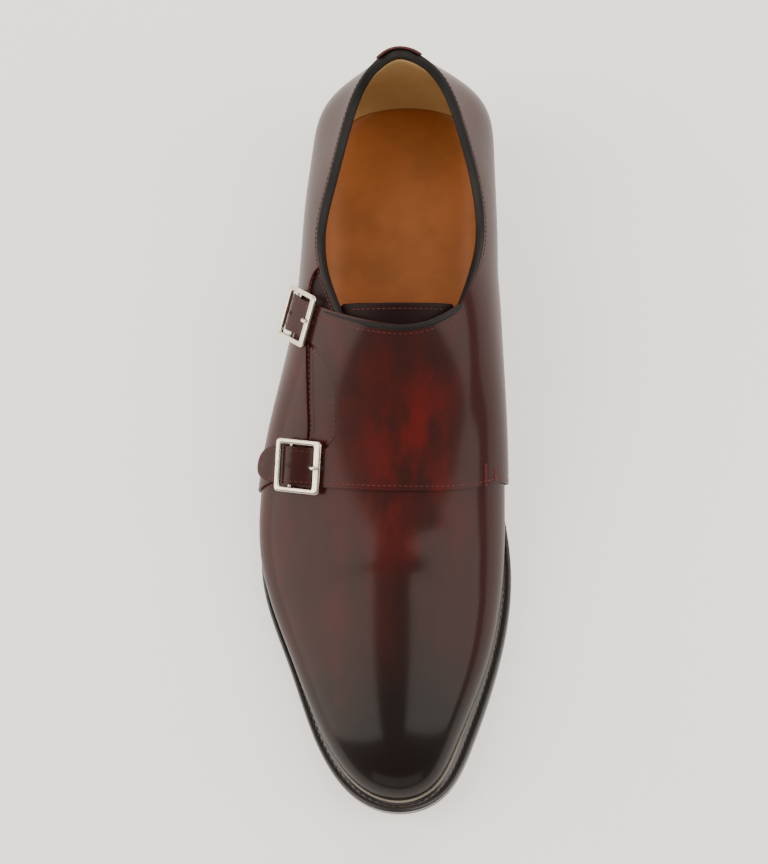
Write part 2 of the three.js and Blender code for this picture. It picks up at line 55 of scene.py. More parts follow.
# %% The rails of the last, at equal stations from toe to heel
TOE_Y, HEEL_Y = -147, 145
CENTRE = (7, 0.4, 0)
WALL = 2.2
GAP = 0.3
CREST_OPENS_U = 0.6
ANKLE_GAP = 19
THROAT_U = 0.47
RAILS = ("featherLat", "featherMed", "featherZ", "bellyLat", "bellyMed", "bellyZ",
         "shoulderLat", "shoulderMed", "shoulderZ", "crestZ")
SECTIONS = (
    (0, 0, 18, 0, 0, 18, 0, 0, 18, 18),
    (16.9, 14.7, 15.8, 19.8, 17.7, 24, 9.6, 9.6, 30, 30),
    (30.8, 24.2, 12.8, 36.6, 29.3, 25, 20.2, 20.4, 36.5, 36.5),
    (43, 34.5, 10, 54, 43, 23, 27, 27, 39, 39),
    (54, 39.5, 8.3, 72, 49, 23, 30, 30, 45, 45),
    (44, 34, 11.5, 75, 54, 30, 33, 33, 61, 61),
    (36, 31, 18.5, 56, 51, 43, 34, 33, 80, 80),
    (33, 30, 25.5, 54, 49, 44, 27, 30, 71, 93),
    (31, 30, 29, 53, 49, 44, 12, 19, 70, 100),
    (22, 22, 30, 46, 45, 46, 3, 8, 72, 104),
    (0, 0, 30, 0, 0, 46, 0, 0, 70, 106),
)
REACH_BACK = {"feather": 0, "belly": 7.5, "shoulder": 5, "crest": -5}
# the collar's drop below the crest line, (lateral, medial), from throat to heel
OPENING = ((0, 0), (0.5, 0.8), (8, 9.5), (25, 26.8), (28.3, 32), (27, 27.3), (25, 24), (21, 21), (19, 19))
# how far the sole stands out beyond the feather edge, (lateral, medial), from toe to heel
EDGE = ((4.6, 4.6), (4.8, 5.6), (4.6, 6.4), (4.6, 6), (4.8, 4.8), (3.4, 2.2), (2, 1.5), (2, 2),
        (2.6, 2.6), (3, 3), (3.4, 3.4))
print("the last has", len(SECTIONS), "sections")


# %% [markdown]
# A smooth curve through equally spaced values is a cubic B-spline. Its knots are found by nudging them a few
# dozen times until the curve passes through the values. NumPy arrays let one call place thousands of points.

# %% Smooth curves
def curve_through(values, level_start=False, level_end=False):
    last = len(values) - 1
    knots = list(values)

    def knot(i):
        if i < 0:
            return knots[-i] if level_start else 2 * knots[0] - knots[-i]
        if i > last:
            return knots[2 * last - i] if level_end else 2 * knots[last] - knots[2 * last - i]
        return knots[i]

    for _ in range(50):
        for i, value in enumerate(values):
            knots[i] = (6 * value - knot(i - 1) - knot(i + 1)) / 4
    table = np.array([knot(i) for i in range(-1, last + 2)])

    def at(t):
        place = np.asarray(t, float) * last
        i = np.clip(np.floor(place).astype(int), 0, last - 1)
        f = place - i
        return ((1 - f) ** 3 * table[i] + (3 * f ** 3 - 6 * f ** 2 + 4) * table[i + 1]
                + (3 * f * (1 + f - f * f) + 1) * table[i + 2] + f ** 3 * table[i + 3]) / 6

    return at


def columns_of(rows, level_start, level_end):
    return [curve_through([row[c] for row in rows], level_start, level_end) for c in range(len(rows[0]))]


def smooth(t):
    t = np.clip(t, 0, 1)
    return t * t * t * (t * (6 * t - 15) + 10)


def lerp(a, b, t):
    return a + (b - a) * t


RAIL = {name: curve_through([row[c] for row in SECTIONS], name == "featherZ", name.endswith("Z"))
        for c, name in enumerate(RAILS)}
OPENING_CURVES = columns_of(OPENING, False, True)
EDGE_CURVES = columns_of(EDGE, True, True)
print("the ball of the foot is", round(float(RAIL["bellyLat"](0.45) + RAIL["bellyMed"](0.45))), "mm wide")


# %% [markdown]
# A place on the last is a side (-1 lateral, +1 medial), a station u from toe to heel, and v up the rib.
# The lift is a distance straight off the leather, which is how one layer is laid over another.

# %% Points on the last
def station_y(u, reach=0.0):
    return TOE_Y + (HEEL_Y - TOE_Y) * (1 - np.cos(np.pi * u)) / 2 + reach * smooth((u - 0.6) / 0.4)


def station_u(y):
    return np.arccos(np.clip(1 - 2 * (np.asarray(y, float) - TOE_Y) / (HEEL_Y - TOE_Y), -1, 1)) / np.pi


def crest_half_gap(u):
    return ANKLE_GAP * smooth((u - CREST_OPENS_U) / 0.25) * np.sin(np.pi / 2 * np.minimum(1, (1 - u) / 0.3))


def last_point(side, u, v):
    side, u, v = np.broadcast_arrays(*(np.asarray(a, float) for a in (side, u, v)))
    weights = ((1 - v) ** 3, 3 * v * (1 - v) ** 2, 3 * v ** 2 * (1 - v), v ** 3)
    point = np.zeros(u.shape + (3,))
    for weight, name in zip(weights, ("feather", "belly", "shoulder", "crest")):
        out = crest_half_gap(u) if name == "crest" else np.where(
            side < 0, RAIL[name + "Lat" if name != "crest" else ""](u), RAIL[name + "Med"](u))
        place = np.stack([side * out, station_y(u, REACH_BACK[name]), RAIL[name + "Z"](u)], -1)
        point += weight[..., None] * place
    return point


def unit(vectors):
    return vectors / np.maximum(np.linalg.norm(vectors, axis=-1, keepdims=True), 1e-12)


def last_normal(side, u, v):
    side, u, v = np.broadcast_arrays(*(np.asarray(a, float) for a in (side, u, v)))
    h = 0.001
    uu, vv = np.clip(u, h, 1 - h), np.clip(v, h, 1 - h)
    along = last_point(side, uu + h, vv) - last_point(side, uu - h, vv)
    up = last_point(side, uu, vv + h) - last_point(side, uu, vv - h)
    normal = unit(np.cross(along, up) * side[..., None])
    level = (u > 1 - h) | (u < 0.002) | ((v > 1 - h) & (crest_half_gap(u) == 0))
    normal[..., 0] = np.where(level, 0, normal[..., 0])
    normal = unit(normal)
    return np.where((u < 0.002)[..., None], np.array([0.0, -1.0, 0.0]), normal)


# Soft troughs (negative) and ridges of the worn-in leather: middle, half length along and half width across,
# all in millimetres, and the turn in degrees from straight across the foot
RELIEF = (
    # x, y, length, width, turn, height
    (-12, -62, 26, 5.0, 8, -0.45),
    (-10, -54, 22, 4.0, 5, 0.22),
    (16, -66, 18, 4.5, -14, -0.35),
    (22, -46, 14, 4.0, -20, -0.25),
    (-44, -40, 16, 4.5, 60, -0.35),
    (30, 2, 18, 5.0, 80, -0.35),
    (34, 60, 16, 6.0, 70, -0.4),
    (-36, 74, 14, 5.0, -75, -0.35),
)


def relief(place):
    """How far the leather lies off the last at a place, from its troughs and ridges."""
    total = np.zeros(place.shape[:-1])
    for x, y, length, width, turn, height in RELIEF:
        c, s = math.cos(math.radians(turn)), math.sin(math.radians(turn))
        dx, dy = place[..., 0] - x, place[..., 1] - y
        total += height * np.exp(-((dx * c + dy * s) / length) ** 2 - ((dy * c - dx * s) / width) ** 2)
    return total * smooth((place[..., 2] - 26) / 14)


def on_last(side, u, v, lift=0.0):
    place = last_point(side, u, v)
    return place + last_normal(side, u, v) * (relief(place) + lift)[..., None]


# %% [markdown]
# Shoemakers measure over the foot with a tape. The girth of a place is the length of leather from the crest
# line down the rib, negative on the lateral side. Straps and seams are drawn with girth and y.

# %% Places by girth over the foot
RIB_PARTS = 80


def rib_v(side, u, girth):
    """The v of a place at a girth down the rib of a station."""
    v = 1 - np.linspace(0, 1, RIB_PARTS + 1)
    rib = last_point(np.asarray(side)[..., None], np.asarray(u)[..., None], v)
    length = np.cumsum(np.linalg.norm(np.diff(rib, axis=-2), axis=-1), axis=-1)
    length = np.concatenate([np.zeros(length.shape[:-1] + (1,)), length], -1)
    target = np.minimum(np.abs(girth), length[..., -1] - 1e-6)[..., None]
    k = np.clip((length <= target).sum(-1) - 1, 0, RIB_PARTS - 1)[..., None]
    low, high = np.take_along_axis(length, k, -1), np.take_along_axis(length, k + 1, -1)
    return 1 - (k[..., 0] + ((target - low) / np.maximum(high - low, 1e-9))[..., 0]) / RIB_PARTS


def over_foot(girth, y, lift=0.0):
    girth, y = np.broadcast_arrays(np.asarray(girth, float), np.asarray(y, float))
    side = np.where(girth < 0, -1.0, 1.0)
    u = station_u(y)
    return on_last(side, u, rib_v(side, u, girth), lift)


def metres(points):
    return (np.asarray(points) + np.array(CENTRE)) / 1000


print("from crest to welt at the ball:", round(float(-over_foot(-30, -20)[0])), "mm out at girth 30")


# %% [markdown]
# ## Laying leather
# A skin of leather starts as a flat grid, as it would from the cutting board, and its points are laid on the
# last. Modelling operators then do the rest: merge doubled points, turn faces outwards, give the leather
# its thickness, round its cut edges. This is quicker and truer than pushing points by eye.

# %% Helpers for skins
def only(piece):
    """Makes one object the selected and active one."""
    bpy.ops.object.select_all(action="DESELECT")
    piece.select_set(True)
    bpy.context.view_layer.objects.active = piece


def edit(piece, *steps):
    """Runs edit mode steps on all of a piece."""
    only(piece)
    bpy.ops.object.mode_set(mode="EDIT")
    bpy.ops.mesh.select_all(action="SELECT")
    for step in steps:
        step()
    bpy.ops.object.mode_set(mode="OBJECT")


def merge(distance=0.00002):
    bpy.ops.mesh.remove_doubles(threshold=distance)


def outwards():
    bpy.ops.mesh.normals_make_consistent(inside=False)


def sheet(name, cells_s, cells_t, place, keep=None):
    """A grid laid out by place(s, t), in millimetres on the last. keep(s, t) says which cells stay."""
    only_nothing()
    bpy.ops.mesh.primitive_grid_add(x_subdivisions=cells_s, y_subdivisions=cells_t, size=2)
    piece = bpy.context.object
    piece.name = piece.data.name = name
    count = len(piece.data.vertices)
    flat = np.empty(count * 3)
    piece.data.vertices.foreach_get("co", flat)
    s, t = (flat.reshape(-1, 3)[:, :2].T + 1) / 2
    if keep:
        centres = np.array([polygon.center[:2] for polygon in piece.data.polygons])
        drop = ~keep(*((centres.T + 1) / 2))
        piece.data.polygons.foreach_set("select", drop)
        bpy.ops.object.mode_set(mode="EDIT")
        bpy.ops.mesh.select_mode(type="FACE")
        bpy.ops.object.mode_set(mode="OBJECT")
        piece.data.polygons.foreach_set("select", drop)
        bpy.ops.object.mode_set(mode="EDIT")
        bpy.ops.mesh.delete(type="ONLY_FACE")
        bpy.ops.mesh.select_mode(type="VERT")
        bpy.ops.object.mode_set(mode="OBJECT")
    piece.data.vertices.foreach_set("co", metres(place(s, t)).ravel())
    if keep:
        edit(piece, lambda: bpy.ops.mesh.delete_loose())
    return piece


def only_nothing():
    bpy.ops.object.select_all(action="DESELECT")


def face_out(piece, sign=1):
    """Turns an open skin's faces away from the middle of the foot."""
    middle = Vector((CENTRE[0] / 1000, 0, 0))
    total = 0.0
    for polygon in piece.data.polygons:
        core = Vector((middle.x, max(-0.09, min(0.09, polygon.center.y)), 0.03))
        total += polygon.area * polygon.normal.dot((polygon.center - core).normalized())
    if total * sign < 0:
        edit(piece, bpy.ops.mesh.flip_normals)


def modifier(piece, kind, **settings):
    only(piece)
    changer = piece.modifiers.new(kind.title(), kind)
    for key, value in settings.items():
        setattr(changer, key, value)
    bpy.ops.object.modifier_apply(modifier=changer.name)


def done(piece, slot, *replaced, angle=40):
    """Smooth shading, and the piece's place in the frame."""
    only(piece)
    bpy.ops.object.shade_smooth_by_angle(angle=math.radians(angle))
    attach(piece, "root")
    if replaced:
        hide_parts(*replaced)
    print(piece.name, "has", len(piece.data.polygons), "faces")
    return piece


# %% [markdown]
# ## Camera, floor and light
# The camera stands high over the toe end and looks down at a steep angle, a little from the medial side, as
# for a catalogue. It is aimed at this one shoe. A pale floor and wide soft lights suit polished leather: what
# is seen on it is mostly the reflection of the lights, so their size and place draw the sheen.

# %% Camera
VIEW_TARGET = (62, 0, 40)
VIEW_ELEVATION = math.radians(75)
VIEW_DISTANCE = 1000
AIM = (0.0, 0.001, 0.035)
LENS = 103

eye = Vector((VIEW_TARGET[0], VIEW_TARGET[1] - VIEW_DISTANCE * math.cos(VIEW_ELEVATION),
              VIEW_TARGET[2] + VIEW_DISTANCE * math.sin(VIEW_ELEVATION))) / 1000
bpy.ops.object.camera_add(location=eye)
camera = bpy.context.object
ahead = (Vector(AIM) - eye).normalized()
right = ahead.cross(Vector((0, math.sin(VIEW_ELEVATION), math.cos(VIEW_ELEVATION)))).normalized()
camera.rotation_euler = Matrix((right, right.cross(ahead), -ahead)).transposed().to_euler()
camera.data.lens = LENS
camera.data.clip_start = 0.01
bpy.context.scene.camera = camera
print("the camera stands", round((eye - Vector(AIM)).length, 2), "m away")


# %% Colours and materials
def colour(hex_code):
    """An sRGB hex value as the linear colour that shaders use."""
    channels = [int(hex_code[i:i + 2], 16) / 255 for i in (1, 3, 5)]
    return tuple(c / 12.92 if c <= 0.04045 else ((c + 0.055) / 1.055) ** 2.4 for c in channels) + (1.0,)


def node(material, kind, inputs=None, **settings):
    """Adds a shader node. An input is a number, a colour or another node's output."""
    made = material.node_tree.nodes.new(kind)
    for key, value in settings.items():
        setattr(made, key, value)
    for key, value in (inputs or {}).items():
        if isinstance(value, bpy.types.NodeSocket):
            material.node_tree.links.new(value, made.inputs[key])
        else:
            made.inputs[key].default_value = value
    return made


def finish(name, **numbers):
    """A material whose Principled shader gets plain numbers on its sockets."""
    material = bpy.data.materials.new(name)
    material.use_nodes = True
    shader = material.node_tree.nodes["Principled BSDF"]
    for key, value in numbers.items():
        shader.inputs[key.replace("_", " ")].default_value = value
    return material, shader


def link(material, output, shader, socket):
    material.node_tree.links.new(output, shader.inputs[socket])


# %% Floor and lights
FLOOR_COLOUR = "#f0ece8"
FLOOR_GLOW = 0.9
floor_material, _ = finish("lit_paper_floor", Base_Color=colour(FLOOR_COLOUR), Roughness=0.9,
                           Emission_Color=colour(FLOOR_COLOUR), Emission_Strength=FLOOR_GLOW)
only_nothing()
bpy.ops.mesh.primitive_plane_add(size=6, location=(0, 0, 0))
floor = bpy.context.object
floor.name = "floor"
floor.data.materials.append(floor_material)

world = bpy.data.worlds.new("studio")
bpy.context.scene.world = world
world.use_nodes = True
world.node_tree.nodes["Background"].inputs["Color"].default_value = (1.0, 0.985, 0.97, 1.0)
world.node_tree.nodes["Background"].inputs["Strength"].default_value = 0.22

# place, size (x, y), power in watts; each light faces the shoe
LIGHTS = {
    "left_softbox": ((-1.5, -0.1, 0.95), (1.3, 3.0), 44),
    "right_softbox": ((1.2, -0.1, 1.4), (1.0, 2.6), 28),
    "back_softbox": ((0.1, 1.7, 1.0), (3.0, 1.2), 36),
    "front_softbox": ((0.0, -2.0, 0.7), (2.8, 0.8), 9),
}
LIGHT_COLOUR = (1.0, 0.93, 0.84)
for name, (place, size, power) in LIGHTS.items():
    bpy.ops.object.light_add(type="AREA", location=place)
    lamp = bpy.context.object
    lamp.name = name
    lamp.data.shape = "RECTANGLE"
    lamp.data.size, lamp.data.size_y = size
    lamp.data.energy = power
    lamp.data.color = LIGHT_COLOUR
    lamp.rotation_euler = (Vector((0, 0, 0.04)) - Vector(place)).to_track_quat("-Z", "Y").to_euler()
print(len(LIGHTS), "soft lights")


# %% [markdown]
# ## The finishes
# The upper is crust calf, dyed and burnished by hand, then polished with wax. The dye is uneven on purpose:
# nearly black at the toe, red where it was rubbed thin, brown elsewhere. It is drawn with soft masks along
# the foot and cloudy noise. Painted shade is mixed into the colour too: the medial side is a darker red, a
# painted dark reflection runs down the middle of the toe, and a darker copy of the calf is painted shade
# under the upper strap and on the tongue. The wax is the shader's coat. The pores are too fine to show at
# full scale, so they are drawn a little coarser.

# %% Burnished calf
PORE = 0.0009
CLOUD = 0.030


def ramp(material, value, low, high):
    """A smooth 0 to 1 mask as a value goes from low to high."""
    return node(material, "ShaderNodeMapRange", {"Value": value, "From Min": low, "From Max": high},
                interpolation_type="SMOOTHSTEP").outputs["Result"]


def maths(material, operation, a, b):
    made = node(material, "ShaderNodeMath", operation=operation)
    for k, value in enumerate((a, b)):
        if isinstance(value, bpy.types.NodeSocket):
            material.node_tree.links.new(value, made.inputs[k])
        else:
            made.inputs[k].default_value = value
    return made.outputs["Value"]


def blend_colours(material, mask, first, second):
    """Mixes two colours by a mask. A colour is a hex value or an output."""
    made = node(material, "ShaderNodeMix", {"Factor": mask}, data_type="RGBA")
    for socket, value in ((made.inputs[6], first), (made.inputs[7], second)):
        if isinstance(value, bpy.types.NodeSocket):
            material.node_tree.links.new(value, socket)
        else:
            socket.default_value = colour(value)
    return made.outputs[2]


def pores(material, shader, strength, scale=PORE):
    """Fine leather grain as bump, and a very slight unevenness of the polish."""
    place = node(material, "ShaderNodeTexCoord").outputs["Object"]
    grain = node(material, "ShaderNodeTexVoronoi", {"Vector": place, "Scale": 1 / scale})
    wave = node(material, "ShaderNodeTexNoise", {"Vector": place, "Scale": 1 / 0.006, "Detail": 2.0})
    height = maths(material, "ADD", grain.outputs["Distance"], wave.outputs["Fac"])
    bump = node(material, "ShaderNodeBump", {"Height": height, "Strength": strength, "Distance": 0.0001})
    link(material, bump.outputs["Normal"], shader, "Normal")
    return place


def burnished_calf(name, brown="#311512", red="#5e1511", medial_red_and_shade="#310c0b", dark="#150d0b", polish=0.15,
                   wax=0.4):
    material, shader = finish(name, Roughness=0.5, Specular_IOR_Level=0.1, Coat_Weight=wax,
                              Coat_Roughness=polish, Coat_IOR=1.4)
    place = pores(material, shader, 0.12)
    axis = node(material, "ShaderNodeSeparateXYZ", {"Vector": place}).outputs
    cloud = node(material, "ShaderNodeTexNoise", {"Vector": place, "Scale": 1 / CLOUD, "Detail": 4.0,
                                                  "Roughness": 0.55}).outputs["Fac"]
    streaks = node(material, "ShaderNodeTexNoise", {
        "Vector": node(material, "ShaderNodeMapping", {"Vector": place, "Scale": (1.0, 0.3, 1.0)}).outputs[0],
        "Scale": 1 / 0.012, "Detail": 3.0}).outputs["Fac"]
    mottle = maths(material, "ADD", maths(material, "MULTIPLY", cloud, 0.65),
                   maths(material, "MULTIPLY", streaks, 0.35))
    rubbed = maths(material, "ADD", maths(material, "MULTIPLY", ramp(material, mottle, 0.38, 0.68), 0.7), 0.3)
    # a red glow of the dye along the middle of the foot, and the medial side a darker red: red dye with
    # painted shade
    across = maths(material, "ABSOLUTE", maths(material, "SUBTRACT", axis["X"], 0.015), 0.0)
    middle = maths(material, "SUBTRACT", 1.0, ramp(material, across, 0.0, 0.036))
    ball = maths(material, "ABSOLUTE", maths(material, "ADD", axis["Y"], 0.022), 0.0)
    glow = maths(material, "MULTIPLY", middle, maths(material, "SUBTRACT", 1.0,
                 ramp(material, ball, 0.0, 0.068)))
    rubbed = maths(material, "MULTIPLY", rubbed, ramp(material, streaks, 0.30, 0.62))
    share = maths(material, "MULTIPLY", maths(material, "ADD", glow, 0.25), rubbed)
    body = blend_colours(material, share, brown, red)
    body = blend_colours(material, ramp(material, axis["X"], 0.020, 0.044), body, medial_red_and_shade)
    # the toe is burnished nearly black, and the colour darkens towards the bottom of the upper
    toe = ramp(material, maths(material, "ADD", axis["Y"], maths(material, "MULTIPLY", cloud, 0.03)),
               -0.060, -0.118)
    low = ramp(material, maths(material, "ADD", axis["Z"], maths(material, "MULTIPLY", cloud, 0.012)),
               0.040, 0.018)
    # a dark streak down the middle of the toe: a painted dark reflection
    painted_dark_reflection = maths(material, "MULTIPLY", maths(material, "MULTIPLY", middle, 0.55),
                   ramp(material, axis["Y"], -0.030, -0.058))
    # the toe's burnish, the darkening towards the bottom and the painted dark reflection darken the colour
    # together
    darkening_and_painted_shade = maths(material, "ADD", maths(material, "MULTIPLY", toe, 0.9),
                   maths(material, "MULTIPLY", low, 0.45))
    darkening_and_painted_shade = maths(material, "MINIMUM", 1.0, maths(material, "ADD", darkening_and_painted_shade, painted_dark_reflection))
    link(material, blend_colours(material, darkening_and_painted_shade, body, dark), shader, "Base Color")
    return material


CALF = burnished_calf("burnished_calf_leather")
# a darker, duller copy of the calf: painted shade where straps and panel keep light off
CALF_PAINTED_SHADE = burnished_calf("calf_leather_painted_shade", brown="#1c0c0c", red="#300d0c", medial_red_and_shade="#1c0a09",
                           dark="#0f0808", polish=0.4, wax=0.1)
print("calf pores are drawn", PORE * 1000, "mm apart")


# %% [markdown]
# The lining and sock are vegetable-tanned calf: tan, a little glossy where worn smooth. Binding and edges
# are dyed black-brown and waxed. The thread is waxed polyester, red on the upper.

# %% Linings, edges, thread, rubber and metal
def plain_leather(name, light, shade, roughness, bump, cloud=0.02, **numbers):
    material, shader = finish(name, Roughness=roughness, **numbers)
    place = pores(material, shader, bump)
    patch = node(material, "ShaderNodeTexNoise", {"Vector": place, "Scale": 1 / cloud, "Detail": 4.0})
    mask = ramp(material, patch.outputs["Fac"], 0.35, 0.70)
    link(material, blend_colours(material, mask, light, shade), shader, "Base Color")
    return material


SOCK_LEATHER = plain_leather("tan_sock_leather", "#b0682c", "#9c5c22", 0.46, 0.2, Specular_IOR_Level=0.3)
LINING_LEATHER = plain_leather("tan_lining_leather", "#b07238", "#a0662e", 0.55, 0.25)
HEEL_LINING = plain_leather("cream_heel_lining", "#cfb078", "#c0a068", 0.6, 0.3)
BINDING = plain_leather("black_waxed_binding", "#1e1b1b", "#141212", 0.5, 0.3, Specular_IOR_Level=0.25)
# the red cut edge, darkened a little as painted shade
CUT_EDGE_PAINTED_SHADE = plain_leather("red_cut_edge_painted_shade", "#4c1714", "#340f0d", 0.5, 0.3)
WELT_LEATHER = plain_leather("black_brown_welt_leather", "#1d1512", "#120d0b", 0.34, 0.3, Coat_Weight=0.35,
                             Coat_Roughness=0.2)
SOLE_LEATHER = plain_leather("oiled_sole_leather", "#6b4426", "#54341d", 0.5, 0.4)
THREAD = plain_leather("red_waxed_thread", "#6e2019", "#521713", 0.55, 0.4)
# the welt's bead in light grey: a painted highlight
BEAD_PAINTED_HIGHLIGHT = plain_leather("welt_bead_painted_highlight", "#8f8678", "#776e62", 0.4, 0.3)
DARK_THREAD = plain_leather("brown_waxed_thread", "#4a3a2e", "#33271f", 0.5, 0.4)
RUBBER = plain_leather("black_heel_rubber", "#191717", "#121111", 0.7, 0.6)


def nickel():
    """Polished nickel plate: a warm white metal with faint handling marks."""
    material, shader = finish("polished_nickel_plate", Metallic=1.0, Roughness=0.2)
    place = node(material, "ShaderNodeTexCoord").outputs["Object"]
    marks = node(material, "ShaderNodeTexNoise", {"Vector": place, "Scale": 1 / 0.004, "Detail": 5.0})
    mask = ramp(material, marks.outputs["Fac"], 0.35, 0.7)
    link(material, blend_colours(material, mask, "#e6dccb", "#d3c8b8"), shader, "Base Color")
    rough = node(material, "ShaderNodeMapRange", {"Value": marks.outputs["Fac"], "To Min": 0.14,
                                                  "To Max": 0.3})
    link(material, rough.outputs["Result"], shader, "Roughness")
    return material


NICKEL = nickel()
print(len(bpy.data.materials), "materials")


# %% [markdown]
# ## The lasted upper
# Under straps and quarters lies one continuous shell: the vamp in front and the lined sides behind. It is
# what gives the shoe its shape, so its grid follows the ribs of the last. Between the two sides, behind the
# throat, a strip of cells is left out: that is the opening for the foot.

# %% The collar line
def collar_v(side, u):
    """The v of the collar on the rib of a station."""
    t = np.clip((u - THROAT_U) / (1 - THROAT_U), 0, 1)
    drop = np.maximum(0, np.where(side < 0, OPENING_CURVES[0](t), OPENING_CURVES[1](t)))
    height = RAIL["crestZ"](u) - drop
    low, high = np.zeros_like(height), np.ones_like(height)
    for _ in range(26):
        middle = (low + high) / 2
        under = last_point(side, u, middle)[..., 2] < height
        low, high = np.where(under, middle, low), np.where(under, high, middle)
    return np.where(u <= THROAT_U, 1.0, low)


# %% Upper shell
SHELL_ROWS = 112
SHELL_RIB = 26
CLOSED_SHARE = 0.45


def shell_station(s):
    return np.where(s < CLOSED_SHARE, s / CLOSED_SHARE * THROAT_U,
                    THROAT_U + (1 - THROAT_U) * (s - CLOSED_SHARE) / (1 - CLOSED_SHARE))


def shell_place(s, t):
    j = t * (2 * SHELL_RIB + 1)
    side = np.where(j <= SHELL_RIB + 0.5, -1.0, 1.0)
    up = np.where(side < 0, j / SHELL_RIB, (2 * SHELL_RIB + 1 - j) / SHELL_RIB)
    u = np.clip(shell_station(s), 0, 1)
    return on_last(side, u, np.clip(up, 0, 1) * collar_v(side, u))


def gets_painted_shade(polygon):
    """The vamp under the upper strap, between quarter and collar: it gets the darker calf as painted shade.
    """
    x, y, z = polygon.center * 1000
    return x < CENTRE[0] - 14 and 33 < y < 62 and z > 60


def shell_keep(s, t):
    middle = np.abs(t - 0.5) < 0.5 / (2 * SHELL_RIB + 1)
    return ~(middle & (shell_station(s) > THROAT_U))


upper_shell = sheet("vamp_and_lining", SHELL_ROWS, 2 * SHELL_RIB + 1, shell_place, shell_keep)
edit(upper_shell, merge, outwards)
face_out(upper_shell)
for material in (CALF, LINING_LEATHER, CALF_PAINTED_SHADE, LINING_LEATHER):
    upper_shell.data.materials.append(material)
# faces under the upper strap take the darker calf: painted shade
for polygon in upper_shell.data.polygons:
    polygon.material_index = 2 if gets_painted_shade(polygon) else 0
modifier(upper_shell, "SOLIDIFY", thickness=WALL / 1000, offset=-1, material_offset=1, material_offset_rim=1)
modifier(upper_shell, "SUBSURF", levels=1, render_levels=1)
done(upper_shell, "upper_leather", "upper", angle=60)


# %% [markdown]
# ## The straps
# The medial quarter, the panel over the instep and both straps are cut from one skin. The straps slant back
# down the lateral side, go under the outer bar of the buckle, over its hinge pin and under its far bar. So
# near a buckle a strap's place is worked out in the buckle's own plane and blended with the foot's surface.

# %% Straps and buckle planes
STRAPS = {
    "upper": {"girth": 49, "y": 44, "angle": 29, "width": 14, "reach": 15},
    "lower": {"girth": 45, "y": -15, "angle": 12, "width": 15.4, "reach": 16},
}
STRAP_ROOT = 14
OVERLAY_GAP = 0.4
OVERLAY = 1.2
TIP_LIFT = 2.3
ALONG_RIBS = 0.93
UNDERSIDE = curve_through([-2.8, -2.8, -2.75, -2.45, -1.8, -1.1, -0.55, -0.4, -1.3, -2.7, -3.5, -4.3])
UNDERSIDE_FROM, UNDERSIDE_TO = -14, 8
FRAME = {"back": 5.6, "front": -14.6, "half_width": 10.8, "bar": 3.2, "side": 2.0, "far": 2.2,
         "thickness": 1.8, "height": 4.5, "outer_height": 3.3}
PIN_DROP = 2.4
PIN_RADIUS = 0.75


def strap_place(strap, a, b):
    """Girth and y of a place on a strap: a along it from the hinge pin, b across it towards the heel."""
    c, s = math.cos(math.radians(strap["angle"])), math.sin(math.radians(strap["angle"]))
    return -(strap["girth"] + a * c - b * s), strap["y"] + (a * s + b * c) * ALONG_RIBS


def on_strap(strap, a, b, lift):
    girth, y = strap_place(strap, np.asarray(a, float), np.asarray(b, float))
    return over_foot(girth, y, lift)


def buckle_axes(strap):
    """Origin and axes of a buckle: x along the strap, z off the foot."""
    origin = on_strap(strap, 0, 0, FRAME["height"])
    x = unit(origin - on_strap(strap, FRAME["front"] + FRAME["bar"] / 2, 0, FRAME["outer_height"]))
    outward = on_strap(strap, -6, 0, 9) - on_strap(strap, -6, 0, 0)
    y = unit(np.cross(outward, x))
    return origin, x, y, np.cross(x, y)


def in_buckle(strap, x, y, z):
    origin, *axes = buckle_axes(strap)
    return origin + sum(np.asarray(value, float)[..., None] * axis for value, axis in zip((x, y, z), axes))


def strap_point(strap, a, b, thickness):
    a, b = np.broadcast_arrays(np.asarray(a, float), np.asarray(b, float))
    lift = lerp(OVERLAY_GAP, TIP_LIFT, smooth((a + 3) / 6)) + thickness + 2.0 * smooth((a - 6) / 10)
    z = UNDERSIDE((a - UNDERSIDE_FROM) / (UNDERSIDE_TO - UNDERSIDE_FROM)) + thickness
    share = smooth((a + 13) / 4) * (1 - smooth((a - 4.5) / 6))
    return lerp(on_strap(strap, a, b, lift), in_buckle(strap, a, -b, z), share[..., None])


# %% The skin of medial quarter, panel and straps
def through(points):
    """A smooth curve through [girth, y] points, as a function of 0 to 1."""
    curves = [curve_through([p[c] for p in points]) for c in (0, 1)]
    return lambda t: np.stack([curves[0](t), curves[1](t)], -1)


PANEL_FRONT = through([(46, -20), (25, -26), (5, -27.6), (-14, -27), (-32.6, -24.7)])
PANEL_BACK = through([(27.4, 44), (12, 35), (-3, 33.6), (-18.5, 36.8), (-34, 42.5)])
SCALLOP = through([(-29.7, -10.7), (-25, -6.5), (-24.3, 1), (-24.6, 11), (-27.5, 20), (-34, 28),
                   (-40.3, 31.2)])
SEAM_FEATHER_Y = (-16, 30)
SIDE_ROWS, BODY_ROWS, STRAP_ROWS, TIP_ROWS = 24, 34, 26, 12
LOWER_CELLS, SCALLOP_CELLS, UPPER_CELLS = 10, 22, 10
PANEL_ROWS = SIDE_ROWS + BODY_ROWS + STRAP_ROWS + TIP_ROWS
PANEL_CELLS = LOWER_CELLS + SCALLOP_CELLS + UPPER_CELLS
TIP_STARTS = 6


def strap_of(j):
    """For a column: the strap it runs into, and its place across that strap."""
    lower = j <= LOWER_CELLS + 1e-6
    t = np.where(lower, j / LOWER_CELLS, (j - LOWER_CELLS - SCALLOP_CELLS) / UPPER_CELLS)
    width = np.where(lower, STRAPS["lower"]["width"], STRAPS["upper"]["width"])
    return lower, (t - 0.5) * width


